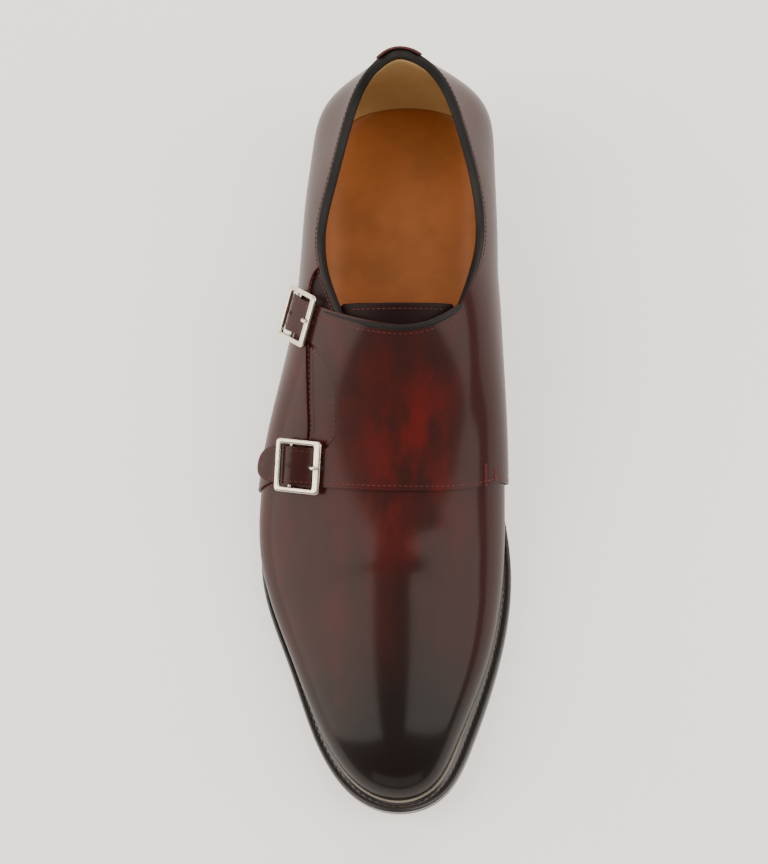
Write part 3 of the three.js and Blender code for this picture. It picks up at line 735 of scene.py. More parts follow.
def panel_root(j):
    """Girth and y where a column leaves the panel."""
    lower, b = strap_of(j)
    ends = {name: np.stack(strap_place(strap, -STRAP_ROOT, b), -1) for name, strap in STRAPS.items()}
    scallop = SCALLOP(np.clip((j - LOWER_CELLS) / SCALLOP_CELLS, 0, 1))
    upper = j >= LOWER_CELLS + SCALLOP_CELLS - 1e-6
    return np.where(lower[..., None], ends["lower"], np.where(upper[..., None], ends["upper"], scallop))


def panel_inside(t, j):
    """Girth and y inside the panel, t from the medial line (0) to the strap roots (1)."""
    root = panel_root(j)
    first, last = panel_root(np.array(0.0))[1], panel_root(np.array(float(PANEL_CELLS)))[1]
    w = ((root[..., 1] - first) / (last - first))[..., None]
    t2 = t[..., None]
    medial = lerp(PANEL_FRONT(0.0), PANEL_BACK(0.0), w)
    far = lerp(PANEL_FRONT(1.0), PANEL_BACK(1.0), w)
    return lerp(PANEL_FRONT(t), PANEL_BACK(t), w) + lerp(medial, root, t2) - lerp(medial, far, t2)


def quarter_lift(y, v):
    """The overlay lies a little off the vamp in front, and settles on the lining behind and at the welt."""
    air = lerp(OVERLAY_GAP, 0.05, smooth((y - 44) / 30))
    return OVERLAY + lerp(0.02, air, smooth(v / 0.3))


def strap_tip(strap, b):
    r = strap["width"] / 2
    return strap["reach"] - r * (1 - np.sqrt(np.maximum(0, 1 - np.minimum(1, np.abs(b) / r) ** 2)))


def medial_place(r, j):
    """The medial side below the panel, r from the feather edge (0) to the medial line (1)."""
    medial = panel_inside(np.zeros_like(j), j)
    top_u, top_v = station_u(medial[..., 1]), rib_v(1.0, station_u(medial[..., 1]), medial[..., 0])
    w = (medial[..., 1] - PANEL_FRONT(0.0)[1]) / (PANEL_BACK(0.0)[1] - PANEL_FRONT(0.0)[1])
    u = lerp(station_u(lerp(SEAM_FEATHER_Y[0], SEAM_FEATHER_Y[1], w)), top_u, r)
    return on_last(1.0, u, r * top_v, quarter_lift(station_y(u), r * top_v))


def panel_place(s, t):
    i, j = np.round(s * PANEL_ROWS, 3), np.round(t * PANEL_CELLS, 3)
    side = medial_place(np.clip(i / SIDE_ROWS, 0, 1), j)
    inside = panel_inside(np.clip((i - SIDE_ROWS) / BODY_ROWS, 0, 1), j)
    body = over_foot(inside[..., 0], inside[..., 1], OVERLAY_GAP + OVERLAY)
    lower, b = strap_of(j)
    k = i - SIDE_ROWS - BODY_ROWS
    result = np.where((i <= SIDE_ROWS)[..., None], side, body)
    for name, mask in (("lower", lower), ("upper", ~lower)):
        strap = STRAPS[name]
        along = np.where(k <= STRAP_ROWS, lerp(-STRAP_ROOT, TIP_STARTS, np.clip(k / STRAP_ROWS, 0, 1)),
                         lerp(TIP_STARTS, strap_tip(strap, b), np.clip((k - STRAP_ROWS) / TIP_ROWS, 0, 1)))
        on_it = mask & (k > 0)
        result = np.where(on_it[..., None], strap_point(strap, along, b, OVERLAY), result)
    return result


def panel_keep(s, t):
    j = t * PANEL_CELLS
    gap = (j > LOWER_CELLS) & (j < LOWER_CELLS + SCALLOP_CELLS)
    return ~(gap & (s * PANEL_ROWS > SIDE_ROWS + BODY_ROWS))


REAR_CELLS = 54


def medial_rear_place(s, t):
    """The medial quarter behind the panel: s from the panel's corner to the heel, t up to the collar."""
    corner_u = station_u(PANEL_BACK(0.0)[1])
    top_u = lerp(corner_u, 1.0, s)
    low_u = lerp(station_u(SEAM_FEATHER_Y[1]), 1.0, s)
    u = lerp(low_u, top_u, t)
    corner_v = rib_v(1.0, corner_u, PANEL_BACK(0.0)[0])
    top_v = lerp(corner_v - collar_v(1.0, corner_u), 0.0, smooth(s / 0.25)) + collar_v(1.0, top_u)
    return on_last(1.0, u, t * top_v, quarter_lift(station_y(u), t * top_v))


medial_quarter = sheet("medial_quarter_and_straps", PANEL_ROWS, PANEL_CELLS, panel_place, panel_keep)
rear = sheet("medial_rear", REAR_CELLS, SIDE_ROWS, medial_rear_place)
only(medial_quarter)
rear.select_set(True)
bpy.ops.object.join()
edit(medial_quarter, lambda: merge(0.00006), outwards)
face_out(medial_quarter)
for material in (CALF, CALF_PAINTED_SHADE, CUT_EDGE_PAINTED_SHADE):
    medial_quarter.data.materials.append(material)
modifier(medial_quarter, "SOLIDIFY", thickness=OVERLAY / 1000, offset=-1, material_offset=1,
         material_offset_rim=2)
modifier(medial_quarter, "BEVEL", width=0.00035, segments=2, limit_method="ANGLE",
         angle_limit=math.radians(50))
modifier(medial_quarter, "SUBSURF", levels=1, render_levels=1)
done(medial_quarter, "upper_leather", "strap_panel", angle=50)


# %% [markdown]
# ## The lateral quarter
# Its front edge runs up from the welt, under the lower strap, along the side and under the upper strap, and
# turns to meet the collar in a corner. The rest is laid between that edge, the collar and the welt.

# %% Lateral quarter
QUARTER_FRONT = through([(-92, -21.2), (-82, -21.1), (-72, -21), (-62, -20.6), (-52, -19), (-43.5, -15.5),
                         (-38.6, -6), (-38.5, 5), (-39.3, 17), (-40.3, 28), (-41.5, 40), (-43, 50.5),
                         (-41, 58.2), (-35.4, 60.7)])
QUARTER_THICKNESS = 1.05
FRONT_SHARE = 0.55


def quarter_lateral_lift(v):
    return QUARTER_THICKNESS + 0.15 * smooth(v / 0.3)


def lateral_place(s, t):
    """s along the top edge: from the welt up the front edge, then along the collar to the heel; t up."""
    front = QUARTER_FRONT(np.clip(s / FRONT_SHARE, 0, 1))
    corner_u = station_u(QUARTER_FRONT(np.array(1.0))[1])
    u = np.where(s < FRONT_SHARE, station_u(front[..., 1]),
                 lerp(corner_u, 1.0, np.clip((s - FRONT_SHARE) / (1 - FRONT_SHARE), 0, 1)))
    top = np.where(s < FRONT_SHARE, rib_v(-1.0, u, front[..., 0]), collar_v(-1.0, u))
    return on_last(-1.0, u, t * top, quarter_lateral_lift(t * top))


lateral_quarter = sheet("lateral_quarter", 190, 26, lateral_place)
edit(lateral_quarter, merge, outwards)
face_out(lateral_quarter)
for material in (CALF, CALF_PAINTED_SHADE, CUT_EDGE_PAINTED_SHADE):
    lateral_quarter.data.materials.append(material)
modifier(lateral_quarter, "SOLIDIFY", thickness=QUARTER_THICKNESS / 1000, offset=-1, material_offset=1,
         material_offset_rim=2)
modifier(lateral_quarter, "BEVEL", width=0.0003, segments=2, limit_method="ANGLE",
         angle_limit=math.radians(50))
done(lateral_quarter, "upper_leather", angle=50)


# %% [markdown]
# ## Inside the collar
# The tongue lies under the panel, stitched to the lining. A folded binding covers the raw edge all round the
# collar, and a narrow strip covers the back seam. A cream lining covers the counter inside the heel.

# %% Tongue
TONGUE_LIFT = -(WALL + 0.9)
TONGUE_FROM, TONGUE_TO = -24, 43.5


def tongue_place(s, t):
    y = lerp(TONGUE_FROM, TONGUE_TO, s)
    corner = 3 * (1 - np.sqrt(1 - np.clip((y - 40.5) / 3.1, 0, 1) ** 2))
    half_width = lerp(23, 27, s) - corner
    return over_foot((2 * t - 1) * half_width, y - 2.0 * np.cos(np.pi * (t - 0.5)) * s ** 6, TONGUE_LIFT)


tongue = sheet("tongue_leather", 60, 28, tongue_place)
edit(tongue, merge, outwards)
face_out(tongue)
# the tongue's top takes the darker calf as painted shade
for material in (CALF_PAINTED_SHADE, LINING_LEATHER, BINDING):
    tongue.data.materials.append(material)
modifier(tongue, "SOLIDIFY", thickness=0.0016, offset=-1, material_offset=1, material_offset_rim=2)
modifier(tongue, "BEVEL", width=0.0005, segments=3, limit_method="ANGLE", angle_limit=math.radians(50))
done(tongue, "upper_leather", "tongue", angle=50)


# %% Collar binding
BINDING_FROM = station_u(31.0)
BINDING_TO = station_u(34.0)
# The binding's section: distance down from the edge, and lift off the last
BINDING_FOLD = ((1.3, 1.25), (1.1, 1.5), (0.6, 1.55), (0.1, 1.4), (-0.3, 0.9), (-0.45, 0.2), (-0.45, -1.3),
                (-0.3, -2.1), (0.0, -2.4), (1.0, -2.5), (1.8, -2.5), (2.0, -2.3))


def round_collar(s):
    """Side and station along the collar, from the lateral front (0) by the heel to the medial front (1)."""
    w = lerp(BINDING_FROM - 1, 1 - BINDING_TO, s)
    return np.where(w < 0, -1.0, 1.0), 1 - np.abs(w)


def by_collar(s, down, lift):
    """A place at a distance down from the collar's edge, along the leather."""
    side, u = round_collar(s)
    v = collar_v(side, u)
    rib = last_point(side, u, v) - last_point(side, u, v - 0.02)
    edge = on_last(side, u, v, 0.0)
    normal = last_normal(side, u, v)
    return edge - unit(rib) * np.asarray(down)[..., None] + normal * np.asarray(lift)[..., None]


def binding_place(s, t):
    fold = np.array(BINDING_FOLD)
    k = t * (len(fold) - 1)
    down, lift = (np.interp(k, np.arange(len(fold)), fold[:, c]) for c in (0, 1))
    y = station_y(round_collar(s)[1])
    pressed = smooth((np.where(s < 0.5, 40.5, 46.0) - y) / 3)
    return by_collar(s, down, np.where(lift > 0, lerp(lift, 0.12 * lift, pressed), lift))


binding = sheet("collar_binding", 220, len(BINDING_FOLD) - 1, binding_place)
edit(binding, merge, outwards)
face_out(binding)
binding.data.materials.append(BINDING)
modifier(binding, "SOLIDIFY", thickness=0.0005, offset=-1)
modifier(binding, "SUBSURF", levels=1, render_levels=1)
done(binding, "upper_leather", angle=70)


# %% Binding along the panel's top edge
# distance in from the edge of the panel, and lift off the last
PANEL_FOLD = ((1.9, 1.6), (1.6, 1.85), (0.8, 1.9), (0.0, 1.8), (-0.45, 1.4), (-0.5, 0.8), (-0.3, 0.3),
              (0.6, 0.2))


def beside_panel_back(t, distance):
    """Girth and y at a distance in from the panel's top edge, towards the toe."""
    line, ahead = PANEL_BACK(t), PANEL_BACK(t + 0.005) - PANEL_BACK(t - 0.005)
    ahead = unit(ahead)
    return line + np.stack([-ahead[..., 1], ahead[..., 0]], -1) * distance[..., None]


def panel_binding_place(s, t):
    fold = np.array(PANEL_FOLD)
    k = t * (len(fold) - 1)
    distance, lift = (np.interp(k, np.arange(len(fold)), fold[:, c]) for c in (0, 1))
    narrow = lerp(1.0, 0.5, smooth((s - 0.6) / 0.2)) * np.sqrt(np.clip(1 - np.abs(2 * s - 1) ** 16, 0.02, 1))
    line = beside_panel_back(lerp(0.01, 0.95, s), distance * narrow)
    return over_foot(line[..., 0], line[..., 1], lift)


panel_binding = sheet("panel_top_binding", 90, len(PANEL_FOLD) - 1, panel_binding_place)
edit(panel_binding, merge, outwards)
face_out(panel_binding)
panel_binding.data.materials.append(BINDING)
modifier(panel_binding, "SOLIDIFY", thickness=0.0004, offset=-1)
modifier(panel_binding, "SUBSURF", levels=1, render_levels=1)
done(panel_binding, "upper_leather", angle=70)


# %% Back strip and heel lining
STRIP_LOW, STRIP_HIGH = 44, 88.2
STRIP_HALF_LOW, STRIP_HALF_HIGH = 5.5, 8
STRIP_LIFT = 2.3


def bisect(is_before, low, high):
    """Halves the span again and again towards the place where is_before turns false."""
    for _ in range(22):
        middle = (low + high) / 2
        before = is_before(middle)
        low, high = np.where(before, middle, low), np.where(before, high, middle)
    return low


def v_at_height(side, u, z):
    return bisect(lambda v: last_point(side, u, v)[..., 2] < z, np.zeros_like(u), np.ones_like(u))


def strip_place(s, t):
    z = lerp(STRIP_LOW, STRIP_HIGH, s)
    x = (2 * t - 1) * lerp(STRIP_HALF_LOW, STRIP_HALF_HIGH, s)
    z = z - 1.2 * (2 * t - 1) ** 4 * s ** 8
    side = np.where(x < 0, -1.0, 1.0)
    far = np.abs(x)
    u = bisect(lambda w: np.abs(last_point(side, w, v_at_height(side, w, z))[..., 0]) > far,
               np.full_like(z, 0.8), np.ones_like(z))
    return on_last(side, u, v_at_height(side, u, z), STRIP_LIFT)


back_strip = sheet("back_seam_strip", 40, 14, strip_place)
edit(back_strip, merge, outwards)
face_out(back_strip)
for material in (CALF, CALF_PAINTED_SHADE, CUT_EDGE_PAINTED_SHADE):
    back_strip.data.materials.append(material)
modifier(back_strip, "SOLIDIFY", thickness=0.0012, offset=-1, material_offset=1, material_offset_rim=2)
modifier(back_strip, "BEVEL", width=0.0004, segments=3, limit_method="ANGLE", angle_limit=math.radians(50))
done(back_strip, "upper_leather", "back_strip", angle=50)

LINING_FROM = station_u(96.0)


def heel_lining_place(s, t):
    """s from the lateral side round the heel to the medial side, t from the footbed up to the binding."""
    w = lerp(LINING_FROM - 1, 1 - LINING_FROM, s)
    side, u = np.where(w < 0, -1.0, 1.0), 1 - np.abs(w)
    sweep = 1 - 0.35 * np.abs(2 * s - 1) ** 3
    return on_last(side, u, lerp(0.03, (collar_v(side, u) - 0.03) * sweep, t), -(WALL + 0.25))


heel_lining = sheet("heel_lining", 80, 24, heel_lining_place)
edit(heel_lining, merge, outwards)
face_out(heel_lining, -1)
heel_lining.data.materials.append(HEEL_LINING)
modifier(heel_lining, "SOLIDIFY", thickness=0.0005, offset=1)
done(heel_lining, "sock_leather", angle=60)


# %% [markdown]
# ## The bottom
# Welt, outsole and heel all follow one outline: the feather edge moved outwards in plan. Each is a section
# carried round that outline. The welt is a ring, with a raised bead where it meets the upper and a shallow
# groove for its stitches.

# %% The outline of the bottom
def plan_point(side, u, out, z):
    """A point of the feather edge moved outwards in plan, at a height."""
    side, u, out, z = np.broadcast_arrays(*(np.asarray(a, float) for a in (side, u, out, z)))
    h = 0.001

    def at(w):
        reach = np.where(side < 0, RAIL["featherLat"](w), RAIL["featherMed"](w))
        return np.stack([side * reach, station_y(w)], -1)

    along = at(np.minimum(u + h, 1)) - at(np.maximum(u - h, 0))
    normal = unit(np.stack([along[..., 1], -along[..., 0]], -1) * side[..., None])
    ahead = np.stack([np.zeros_like(u), np.where(u < 0.5, -1.0, 1.0)], -1)
    normal = np.where(((u < 1e-6) | (u > 1 - 1e-6))[..., None], ahead, normal)
    place = at(u) + normal * out[..., None]
    return np.stack([place[..., 0], place[..., 1], z], -1)


def sole_edge(side, u):
    return np.where(side < 0, EDGE_CURVES[0](u), EDGE_CURVES[1](u))


def welt_top(u):
    return RAIL["featherZ"](u) - GAP


def sole_top(u):
    return welt_top(u) - 3 - GAP


def sole_bottom(u):
    return np.maximum(0, sole_top(u) - 5)


def round_foot(s):
    """Side and station round the whole outline, from the toe by the lateral side to the heel and back."""
    return np.where(s < 0.5, -1.0, 1.0), np.where(s < 0.5, 2 * s, 2 - 2 * s)


def loop_at(table, t):
    """A closed section given as rows of numbers, at t from 0 to 1."""
    rows = np.array(table + (table[0],), float)
    return [np.interp(t * len(table), np.arange(len(rows)), rows[:, c]) for c in range(rows.shape[1])]


# %% Welt, with its bead and stitching groove
# distance from the sole's edge (0) towards the foot (1), and height above the welt's own top
WELT_SECTION = ((1.0, -3.0), (1.0, 0.1), (0.80, 0.9), (0.62, 0.75), (0.52, 0.1), (0.42, -0.25), (0.30, -0.05),
                (0.12, 0.0), (0.04, -0.15), (0.0, -0.55), (0.0, -2.5), (0.04, -2.85), (0.12, -3.0))


def welt_place(s, t):
    side, u = round_foot(s)
    inwards, height = loop_at(WELT_SECTION, t)
    edge = sole_edge(side, u)
    return plan_point(side, u, lerp(edge, -1.4, inwards), welt_top(u) + height)


# the sheet's faces run round the foot first, one strip for each step of the section
BEAD_HIGHLIGHT_STRIPS = (1, 2)
WELT_CELLS = 240
welt = sheet("grooved_welt", WELT_CELLS, len(WELT_SECTION), welt_place)
# the bead's strips take the light grey: a painted highlight
for material in (WELT_LEATHER, BEAD_PAINTED_HIGHLIGHT):
    welt.data.materials.append(material)
for polygon in welt.data.polygons:
    polygon.material_index = int(polygon.index // WELT_CELLS in BEAD_HIGHLIGHT_STRIPS)
edit(welt, merge, outwards)
modifier(welt, "SUBSURF", levels=1, render_levels=1)
done(welt, "sole_leather", "welt", angle=60)


# %% [markdown]
# The outsole is a tube flattened into a board: its section runs over the top from the lateral to the medial
# edge, round the edge and back underneath. At toe and heel the section shrinks to nothing, which closes it.

# %% Outsole
ACROSS = 10
SOLE_ROUND = ((1.1, 0.0), (0.35, 0.25), (0.0, 0.9), (0.0, 4.1), (0.35, 4.75), (1.1, 5.0))


def sole_section():
    """Rows of share across from lateral to medial, inset from the edge and drop from the top."""
    top = [(k / ACROSS, 1.1, 0.0) for k in range(1, ACROSS)]
    medial = [(1.0, inset, drop) for inset, drop in SOLE_ROUND]
    under = [(share, 1.1, 5.0) for share, _, _ in reversed(top)]
    lateral = [(0.0, inset, drop) for inset, drop in reversed(SOLE_ROUND)]
    return tuple(top + medial + under + lateral)


SOLE_SECTION = sole_section()


def outsole_place(s, t):
    share, inset, drop = loop_at(SOLE_SECTION, t)
    lateral, medial = (plan_point(side, s, sole_edge(side, s) - inset, 0.0) for side in (-1.0, 1.0))
    place = lerp(lateral, medial, share[..., None])
    place[..., 2] = lerp(sole_top(s), sole_bottom(s), drop / 5)
    return place


outsole = sheet("rounded_outsole", 120, len(SOLE_SECTION), outsole_place)
edit(outsole, merge, outwards)
for material in (WELT_LEATHER, SOLE_LEATHER):
    outsole.data.materials.append(material)
for polygon in outsole.data.polygons:
    polygon.material_index = int(polygon.normal.z < -0.8)
done(outsole, "sole_leather", "outsole", angle=35)


# %% [markdown]
# The heel is built of three leather lifts and a rubber top piece. Fine grooves show where the lifts meet, and
# the front face, the breast, is a little hollow.

# %% Heel
BREAST_U = 0.688
HEEL_TAPER = 2.5
BREAST_HOLLOW = 3
TOP_PIECE = 6
LIFTS = 3


def heel_outline(s, inset):
    """Round the heel: lateral side, medial side, then across the breast."""
    side = np.where(s < 0.42, -1.0, 1.0)
    u = np.where(s < 0.42, lerp(BREAST_U, 1, s / 0.42), lerp(1, BREAST_U, np.clip((s - 0.42) / 0.42, 0, 1)))
    place = plan_point(side, u, sole_edge(side, u) - inset, 0.0)
    w = np.clip((s - 0.84) / 0.16, 0, 1)
    breast = np.array(BREAST_U)
    ends = [plan_point(k, breast, sole_edge(k, breast) - inset, 0.0) for k in (1.0, -1.0)]
    across = lerp(ends[0], ends[1], w[..., None])
    place = np.where((s > 0.84)[..., None], across, place)
    near = 1 - smooth((place[..., 1] - station_y(BREAST_U)) / 6)
    hollow = np.where(s > 0.84, BREAST_HOLLOW * (1 - (2 * w - 1) ** 2), 0.0)
    place[..., 1] += hollow + inset * near
    return place


def heel_block(name, top, bottom, grooves, material, *placed):
    """A block with its top and bottom heights as functions of y, and grooves at shares of its height."""
    wall = [(1.0, 0.02, 0.25), (1.0, 0.06, 0.0)]
    for groove in grooves:
        wall += [(1.0, groove - 0.03, 0.0), (1.0, groove, 0.28), (1.0, groove + 0.03, 0.0)]
    wall += [(1.0, 0.94, 0.0), (1.0, 0.98, 0.25)]
    rows = [(0.0, 0.0, 0.7), (0.5, 0.0, 0.7)] + [(1.0, 0.0, 0.7)] + wall + [(1.0, 1.0, 0.7)]
    rows = np.array(rows + [(0.5, 1.0, 0.7), (0.0, 1.0, 0.7)])

    def place(s, t):
        k = t * (len(rows) - 1)
        size, down, inset = (np.interp(k, np.arange(len(rows)), rows[:, c]) for c in range(3))
        rough = heel_outline(s, 0.0)
        ground = lerp(top(rough[..., 1]), bottom(rough[..., 1]), down)
        taper = HEEL_TAPER * np.clip(1 - ground / 22, 0, 1)
        edge = heel_outline(s, inset + taper)
        middle = np.array([-0.5, 116.0, 0.0])
        result = lerp(middle, edge, size[..., None])
        result[..., 2] = lerp(top(result[..., 1]), bottom(result[..., 1]), down)
        return result

    block = sheet(name, 110, len(rows) - 1, place)
    edit(block, merge, outwards)
    block.data.materials.append(material)
    return done(block, *placed, angle=35)


def heel_seat(y):
    return sole_bottom(station_u(np.clip(y, TOE_Y, HEEL_Y))) - 0.1


heel_block("heel_lifts", heel_seat, lambda y: 0 * y + TOP_PIECE + 0.1,
           [k / LIFTS for k in range(1, LIFTS)], WELT_LEATHER, "sole_leather", "heel_stack")
heel_block("rubber_top_piece", lambda y: 0 * y + TOP_PIECE, lambda y: 0 * y, [], RUBBER,
           "heel_rubber", "heel_top_piece")


# %% [markdown]
# The footbed is a leather board with its sock, dished a little in the middle and turned up at its edge.

# %% Footbed
FOOTBED_RISE, FOOTBED_DISH = 1.5, 1.2


def footbed_place(s, t):
    u = lerp(0.05, 1.0, s)
    lateral, medial = (on_last(side, u, 0.07, -(WALL + 0.15)) for side in (-1.0, 1.0))
    place = lerp(lateral, medial, t[..., None])
    dish = FOOTBED_DISH * (1 - (2 * t - 1) ** 2) * np.sin(np.pi * u)
    flat = RAIL["featherZ"](u) + FOOTBED_RISE - dish
    place[..., 2] = lerp(flat, np.maximum(flat, place[..., 2]), np.abs(2 * t - 1) ** 12)
    return place


footbed = sheet("footbed", 90, 22, footbed_place)
edit(footbed, merge, outwards)
if sum(polygon.normal.z for polygon in footbed.data.polygons) < 0:
    edit(footbed, bpy.ops.mesh.flip_normals)
footbed.data.materials.append(SOCK_LEATHER)
modifier(footbed, "SOLIDIFY", thickness=0.0016, offset=-1)
modifier(footbed, "BEVEL", width=0.0006, segments=3, limit_method="ANGLE", angle_limit=math.radians(50))
done(footbed, "sock_leather", "insole", angle=50)


# %% [markdown]
# ## The buckles
# A frame is a rounded rectangle of bar whose section is a soft oval. Its outer bar is the broadest. Below the
# sides two lugs hold the hinge pin, and the prong and a folded leather tab are wrapped round that pin.

# %% Frames with lugs and pins
CORNER_CELLS, SIDE_CELLS = 6, 5


def rectangle_outline(x0, x1, y0, y1, r):
    """Points round a rectangle with rounded corners."""
    points = []
    corners = ((x1 - r, y1 - r), (x0 + r, y1 - r), (x0 + r, y0 + r), (x1 - r, y0 + r))
    for k, (x, y) in enumerate(corners):
        arc = [math.radians(90 * (k + j / CORNER_CELLS)) for j in range(CORNER_CELLS + 1)]
        points += [(x + r * math.cos(angle), y + r * math.sin(angle)) for angle in arc]
        nx, ny = corners[(k + 1) % 4]
        start = math.radians(90 * (k + 1))
        ax, ay = x + r * math.cos(start), y + r * math.sin(start)
        bx, by = nx + r * math.cos(start), ny + r * math.sin(start)
        points += [(lerp(ax, bx, j / SIDE_CELLS), lerp(ay, by, j / SIDE_CELLS)) for j in range(1, SIDE_CELLS)]
    return np.array(points + points[:1])


def bar_section(t, power=0.55):
    """A soft oval: share from the inner to the outer outline, and height from -1 to 1."""
    c, s = np.cos(2 * np.pi * t), np.sin(2 * np.pi * t)
    return 0.5 + 0.5 * np.sign(c) * np.abs(c) ** power, np.sign(s) * np.abs(s) ** power


def buckle_frame(name):
    strap = STRAPS[name]
    w = FRAME["half_width"]
    outer = rectangle_outline(FRAME["front"], FRAME["back"], -w, w, 1.7)
    inner = rectangle_outline(FRAME["front"] + FRAME["bar"], FRAME["back"] - FRAME["far"],
                              FRAME["side"] - w, w - FRAME["side"], 0.9)
    cells = len(outer) - 1

    def place(s, t):
        share, height = bar_section(t)
        k = s * cells
        steps = np.arange(cells + 1)
        x, y = (lerp(np.interp(k, steps, inner[:, c]), np.interp(k, steps, outer[:, c]), share)
                for c in (0, 1))
        return in_buckle(strap, x, y, height * FRAME["thickness"] / 2)

    piece = sheet(name + "_buckle_frame", cells, 16, place)
    edit(piece, merge, outwards)
    parts = [piece]
    _, *axes = buckle_axes(strap)
    turn = Matrix([list(axis) for axis in axes]).transposed().to_4x4()
    seats = [("cylinder", (0, 0, -PIN_DROP), (PIN_RADIUS, PIN_RADIUS, w - 0.4))]
    seats += [("cube", (0, end * (w - 1), -PIN_DROP / 2 - 0.3), (0.8, 0.45, PIN_DROP / 2 + 0.35))
              for end in (-1, 1)]
    for shape, place_at, size in seats:
        only_nothing()
        if shape == "cylinder":
            bpy.ops.mesh.primitive_cylinder_add(vertices=20, radius=0.001, depth=0.002)
            spin = Matrix.Rotation(math.pi / 2, 4, "X")
            scale = Matrix.Diagonal((size[0], size[2], size[1], 1))
        else:
            bpy.ops.mesh.primitive_cube_add(size=0.002)
            spin, scale = Matrix.Identity(4), Matrix.Diagonal((*size, 1))
        lug = bpy.context.object
        spot = metres(in_buckle(strap, *(np.array(float(c)) for c in place_at)))
        lug.data.transform(Matrix.Translation(Vector(spot)) @ turn @ scale @ spin)
        lug.location = (0, 0, 0)
        if shape == "cube":
            modifier(lug, "BEVEL", width=0.0004, segments=3, limit_method="ANGLE",
                     angle_limit=math.radians(50))
        parts.append(lug)
    only(piece)
    for part in parts:
        part.select_set(True)
    bpy.ops.object.join()
    piece.data.materials.clear()
    piece.data.materials.append(NICKEL)
    return done(piece, "buckle_nickel", "buckle_frame_" + name, angle=40)


for name in STRAPS:
    buckle_frame(name)


# %% [markdown]
# A prong is one bent rod: its eye goes round the pin, and it comes up through the strap's hole and rests on
# the outer bar. A tube is a section carried along a path, here with the path in the buckle's own plane.

# %% Prongs and tabs
PRONG_PATH = ((1.0, -1.5), (1.35, -2.4), (1.0, -3.4), (0.0, -3.75), (-1.6, -3.6), (-4.0, -3.4), (-6.6, -3.0),
              (-8.6, -1.6), (-10.4, 0.8), (-11.8, 1.7), (-13.0, 1.65), (-13.9, 1.3))
PRONG_RADII = (0.55, 0.62, 0.66, 0.7, 0.72, 0.72, 0.72, 0.72, 0.72, 0.72, 0.64, 0.5)
TAB_PATH = ((0.4, -1.0), (-0.9, -1.25), (-1.5, -2.4), (-0.9, -3.5), (0.6, -3.9))


def smooth_path(points, count):
    """Evenly spread points on a smooth curve through the given ones."""
    curves = [curve_through([p[c] for p in points]) for c in range(len(points[0]))]
    return np.stack([curve(np.linspace(0, 1, count)) for curve in curves], -1)


def prong(name):
    strap = STRAPS[name]
    path = smooth_path(PRONG_PATH, 41)
    radii = curve_through(PRONG_RADII)(np.linspace(0, 1, 41)) * np.sqrt(np.clip(
        1 - (2 * np.linspace(0, 1, 41) - 1) ** 20, 0, 1))
    ahead = unit(np.gradient(path, axis=0))

    def place(s, t):
        k = s * 40
        centre, along = (np.stack([np.interp(k, np.arange(41), a[:, c]) for c in (0, 1)], -1)
                         for a in (path, ahead))
        radius = np.interp(k, np.arange(41), radii)
        up, across = radius * np.sin(2 * np.pi * t), radius * 1.15 * np.cos(2 * np.pi * t)
        raised = centre[..., 1] + along[..., 0] * up
        return in_buckle(strap, centre[..., 0] - along[..., 1] * up, across, raised)

    piece = sheet(name + "_buckle_prong", 40, 14, place)
    edit(piece, lambda: merge(0.00001), outwards)
    piece.data.materials.append(NICKEL)
    return done(piece, "buckle_nickel", "buckle_prong_" + name, angle=60)


def tab(name):
    """A folded strip of leather, from the pin back under the strap's end."""
    strap = STRAPS[name]
    origin, *axes = buckle_axes(strap)
    tail = [on_strap(strap, a, 0.0, 2.0) - origin for a in (10.5, 7.5, 4.8)]
    tail = [(float(p @ axes[0]), float(p @ axes[2])) for p in tail]
    path = smooth_path(tuple(tail) + ((2.4, -1.9),) + TAB_PATH, 37)

    def place(s, t):
        x, z = (np.interp(s * 36, np.arange(37), path[:, c]) for c in (0, 1))
        return in_buckle(strap, x, (2 * t - 1) * 6, z)

    def keep(s, t):
        return ~((np.abs(2 * t - 1) < 0.2) & (s > 0.5))

    piece = sheet(name + "_buckle_tab", 36, 10, place, keep)
    edit(piece, merge, outwards)
    for material in (CALF_PAINTED_SHADE, CALF_PAINTED_SHADE, CUT_EDGE_PAINTED_SHADE):
        piece.data.materials.append(material)
    modifier(piece, "SOLIDIFY", thickness=0.0008, offset=0, material_offset_rim=2)
    return done(piece, "upper_leather", "buckle_tab_" + name, angle=60)


for name in STRAPS:
    prong(name)
    tab(name)


# %% [markdown]
# ## Punched holes
# Each strap has a row of holes along its middle. A hole is not cut: a black disc of painted shade stands for
# its shadowed inside, ringed by the pressed rim that the punch leaves in the leather.

# %% Strap holes
HOLE_RADIUS = 0.8
HOLES = {"lower": (-13.8, 0.0, 7.4), "upper": (-13.8, 0.0, 7.4)}


